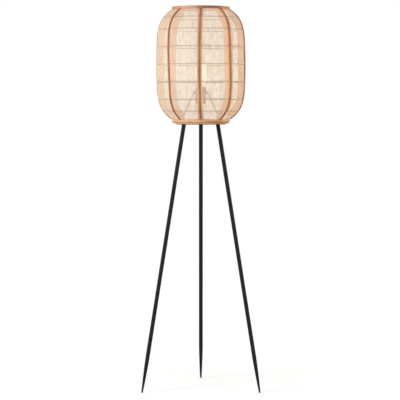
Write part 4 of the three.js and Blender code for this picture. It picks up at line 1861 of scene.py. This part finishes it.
def make_gland():
    bore, outer, bottom, top = ring_sizes("cable_gland")
    body_top = top - gland_nipple
    threads = [(nipple_radius, height) for height in climb(body_top, top - nipple_cut, nipple_pitch)]
    corners = [(bore, bottom), (outer - gland_edge, bottom), (outer, bottom + gland_edge), (outer, body_top)]
    lower = rounded(corners, gland_corner, False)
    outline = lower + threads + [(nipple_radius - nipple_cut, top), (bore, top)]
    flats = hexed(outer * gland_flat_share, bottom + gland_edge, body_top - nipple_cut)
    cut = threaded(nipple_pitch, nipple_cut, body_top, top - nipple_cut)

    def shape(azimuth, radius, height):
        if radius < nipple_radius - seat:
            return radius, height
        return flats(azimuth, radius, height) if height < body_top else cut(azimuth, radius, height)

    gland = turned("cable_gland_nut", outline, round_sides, shape)
    return stand_for(gland, "cable_gland", brown_plastic)


make_core()
make_shell()
make_gland()
print("shell from", [round(size, 4) for size in ring_sizes("holder_screw_shell")[2:]])

# %% [markdown]
# The middle contact is a strip of brass with a foot and a raised tongue. Its measured shape is
# right already, so it stays. It only gets its metal and a fine bevel.

# %% The contact
contact_edge = 0.00015


def keep(node, finish, bevel):
    """A measured piece that stays, with its finish and softened edges."""
    piece = nodes[node]
    piece.data.materials.clear()
    piece.data.materials.append(finish)
    softened = piece.modifiers.new("soft edges", "BEVEL")
    softened.width, softened.segments, softened.limit_method = bevel, 2, "ANGLE"


keep("holder_contact", brass, contact_edge)
print("contact kept:", nodes["holder_contact"].name)

# %% [markdown]
# ## Bulb
#
# The bulb is a tube of opal glass in a screw cap. The cap is thin brass with a rolled thread,
# so the thread shows inside and outside. Below it are a ceramic insulator and a soldered tip.
# Inside stand the glass stem and the coil, which glow through the white coating.

# %% Cap, insulator and tip
cap_sheet = 0.0008
cap_wave = 0.0009
cap_plain = 0.0035
insulator_rise = 0.007
insulator_radius = 0.009
insulator_waist = 0.005
insulator_edge = 0.0006
tip_radius = 0.0035
tip_rise = 0.002
tip_dome_shares = ((0, 0), (0.6, 0.1), (0.9, 0.4), (1, 1))


def make_bulb_cap():
    _, outer, bottom, top = ring_sizes("bulb_cap")
    start = bottom + insulator_rise
    heights = climb(start, top, shell_pitch)
    outside = [(outer, height) for height in heights]
    inside = [(outer - cap_sheet, height) for height in reversed(heights)]
    change = threaded(shell_pitch, cap_wave, start, top - cap_plain, 1)
    cap = turned("rolled_cap", outside + inside, round_sides, change)
    stand_for(cap, "bulb_cap", brass)
    corners = [
        (tip_radius, bottom + tip_rise / 2), (tip_radius, bottom + tip_rise),
        (insulator_radius, bottom + insulator_waist), (outer - cap_sheet, start), (0, start),
    ]
    insulator = turned("insulator", rounded(corners, insulator_edge, False), round_sides, closed=False)
    ride_along(insulator, "bulb_cap", white_ceramic)
    dome = [(tip_radius * across, bottom + tip_rise * up) for across, up in tip_dome_shares]
    tip = turned("soldered_tip", dome, fitting_sides, closed=False)
    ride_along(tip, "bulb_cap", zinc_plate)


make_bulb_cap()
print("cap ends at", round(ring_sizes("bulb_cap")[3], 4))

# %% Glass, stem and coil
glass_wall = 0.001
shoulder_rise = 0.031
slim_share = 0.92
swell_steps = 16
dome_steps = 16
stem_flare = 0.006
stem_post = 0.0025
stem_button = 0.003
stem_edge = 0.0009
button_share = 1.4
coil_radius = 0.0007
coil_ring = 0.012
coil_turn_share = 0.8
coil_lead_share = 1 / 7
coil_steps = 60
coil_sides = 8


def envelope(inset):
    """Half outline of the bulb: a neck that swells, a straight side, then a round dome."""
    _, widest, bottom, top = ring_sizes("bulb_glass")
    cap_radius, cap_top = ring_sizes("bulb_cap")[1], ring_sizes("bulb_cap")[3]
    neck, belly = cap_radius - cap_sheet - seat - inset, widest * slim_share - inset
    dome_start = top - widest * slim_share
    points = [(neck, bottom), (neck, cap_top)]
    for k in range(1, swell_steps + 1):
        share = k / swell_steps
        swell = (1 - math.cos(math.pi * share)) / 2
        points.append((neck + (belly - neck) * swell, cap_top + shoulder_rise * share))
    for k in range(dome_steps + 1):
        turn = math.pi / 2 * k / dome_steps
        points.append((belly * math.cos(turn), dome_start + belly * math.sin(turn)))
    return points


def make_glass():
    outline = list(reversed(envelope(glass_wall))) + envelope(0)
    glass = turned("opal_bulb", outline, round_sides, closed=False)
    return stand_for(glass, "bulb_glass", opal_glass)


def make_stem():
    _, flare, bottom, top = ring_sizes("bulb_stem")
    neck, button = top - stem_button, stem_post * button_share
    corners = [
        (0, bottom), (flare, bottom), (stem_post, bottom + stem_flare), (stem_post, neck),
        (button, neck), (button, top), (0, top),
    ]
    stem = turned("glass_stem", rounded(corners, stem_edge, False), fitting_sides, closed=False)
    return stand_for(stem, "bulb_stem", clear_glass)


def make_coil():
    _, _, bottom, top = ring_sizes("bulb_filament")
    foot, height = bottom + coil_radius, top - coil_radius
    path = []
    for k in range(coil_steps + 1):
        share = k / coil_steps
        turn = math.pi * (1 - coil_turn_share) + 2 * math.pi * coil_turn_share * share
        rise = min(1, share / coil_lead_share, (1 - share) / coil_lead_share)
        eased = rise * rise * (3 - 2 * rise)
        radius = stem_post + (coil_ring - stem_post) * rise
        path.append(at(turn + math.pi / 2, radius, foot + (height - foot) * eased))
    coil = tube("lit_coil", path, [coil_radius] * len(path), coil_sides)
    return stand_for(coil, "bulb_filament", lit_coil)


make_glass()
make_stem()
make_coil()
print("bulb reaches", round(ring_sizes("bulb_glass")[3], 4))

# %% [markdown]
# The bulb's own glow is too even to reach the ribs without blinding the camera, because a real
# bulb is far brighter than a picture can show. A small warm lamp at the same place, a little
# larger than the glass and unseen itself, gives the ribs and the gauze their warm inner light.

# %% The light inside the shade
inner_power = 1.12
inner_tint = (1.0, 0.87, 0.65)
inner_radius = 0.027


def add_inner_light():
    data = bpy.data.lights.new("inner", "POINT")
    data.energy, data.color, data.shadow_soft_size = inner_power, inner_tint, inner_radius
    lamp = put_in_scene("inner", data)
    lamp.location = (axis_x, axis_y, glow_height)
    lamp.visible_camera = lamp.visible_glossy = lamp.visible_transmission = False


add_inner_light()
print("inner light at", round(glow_height, 3))
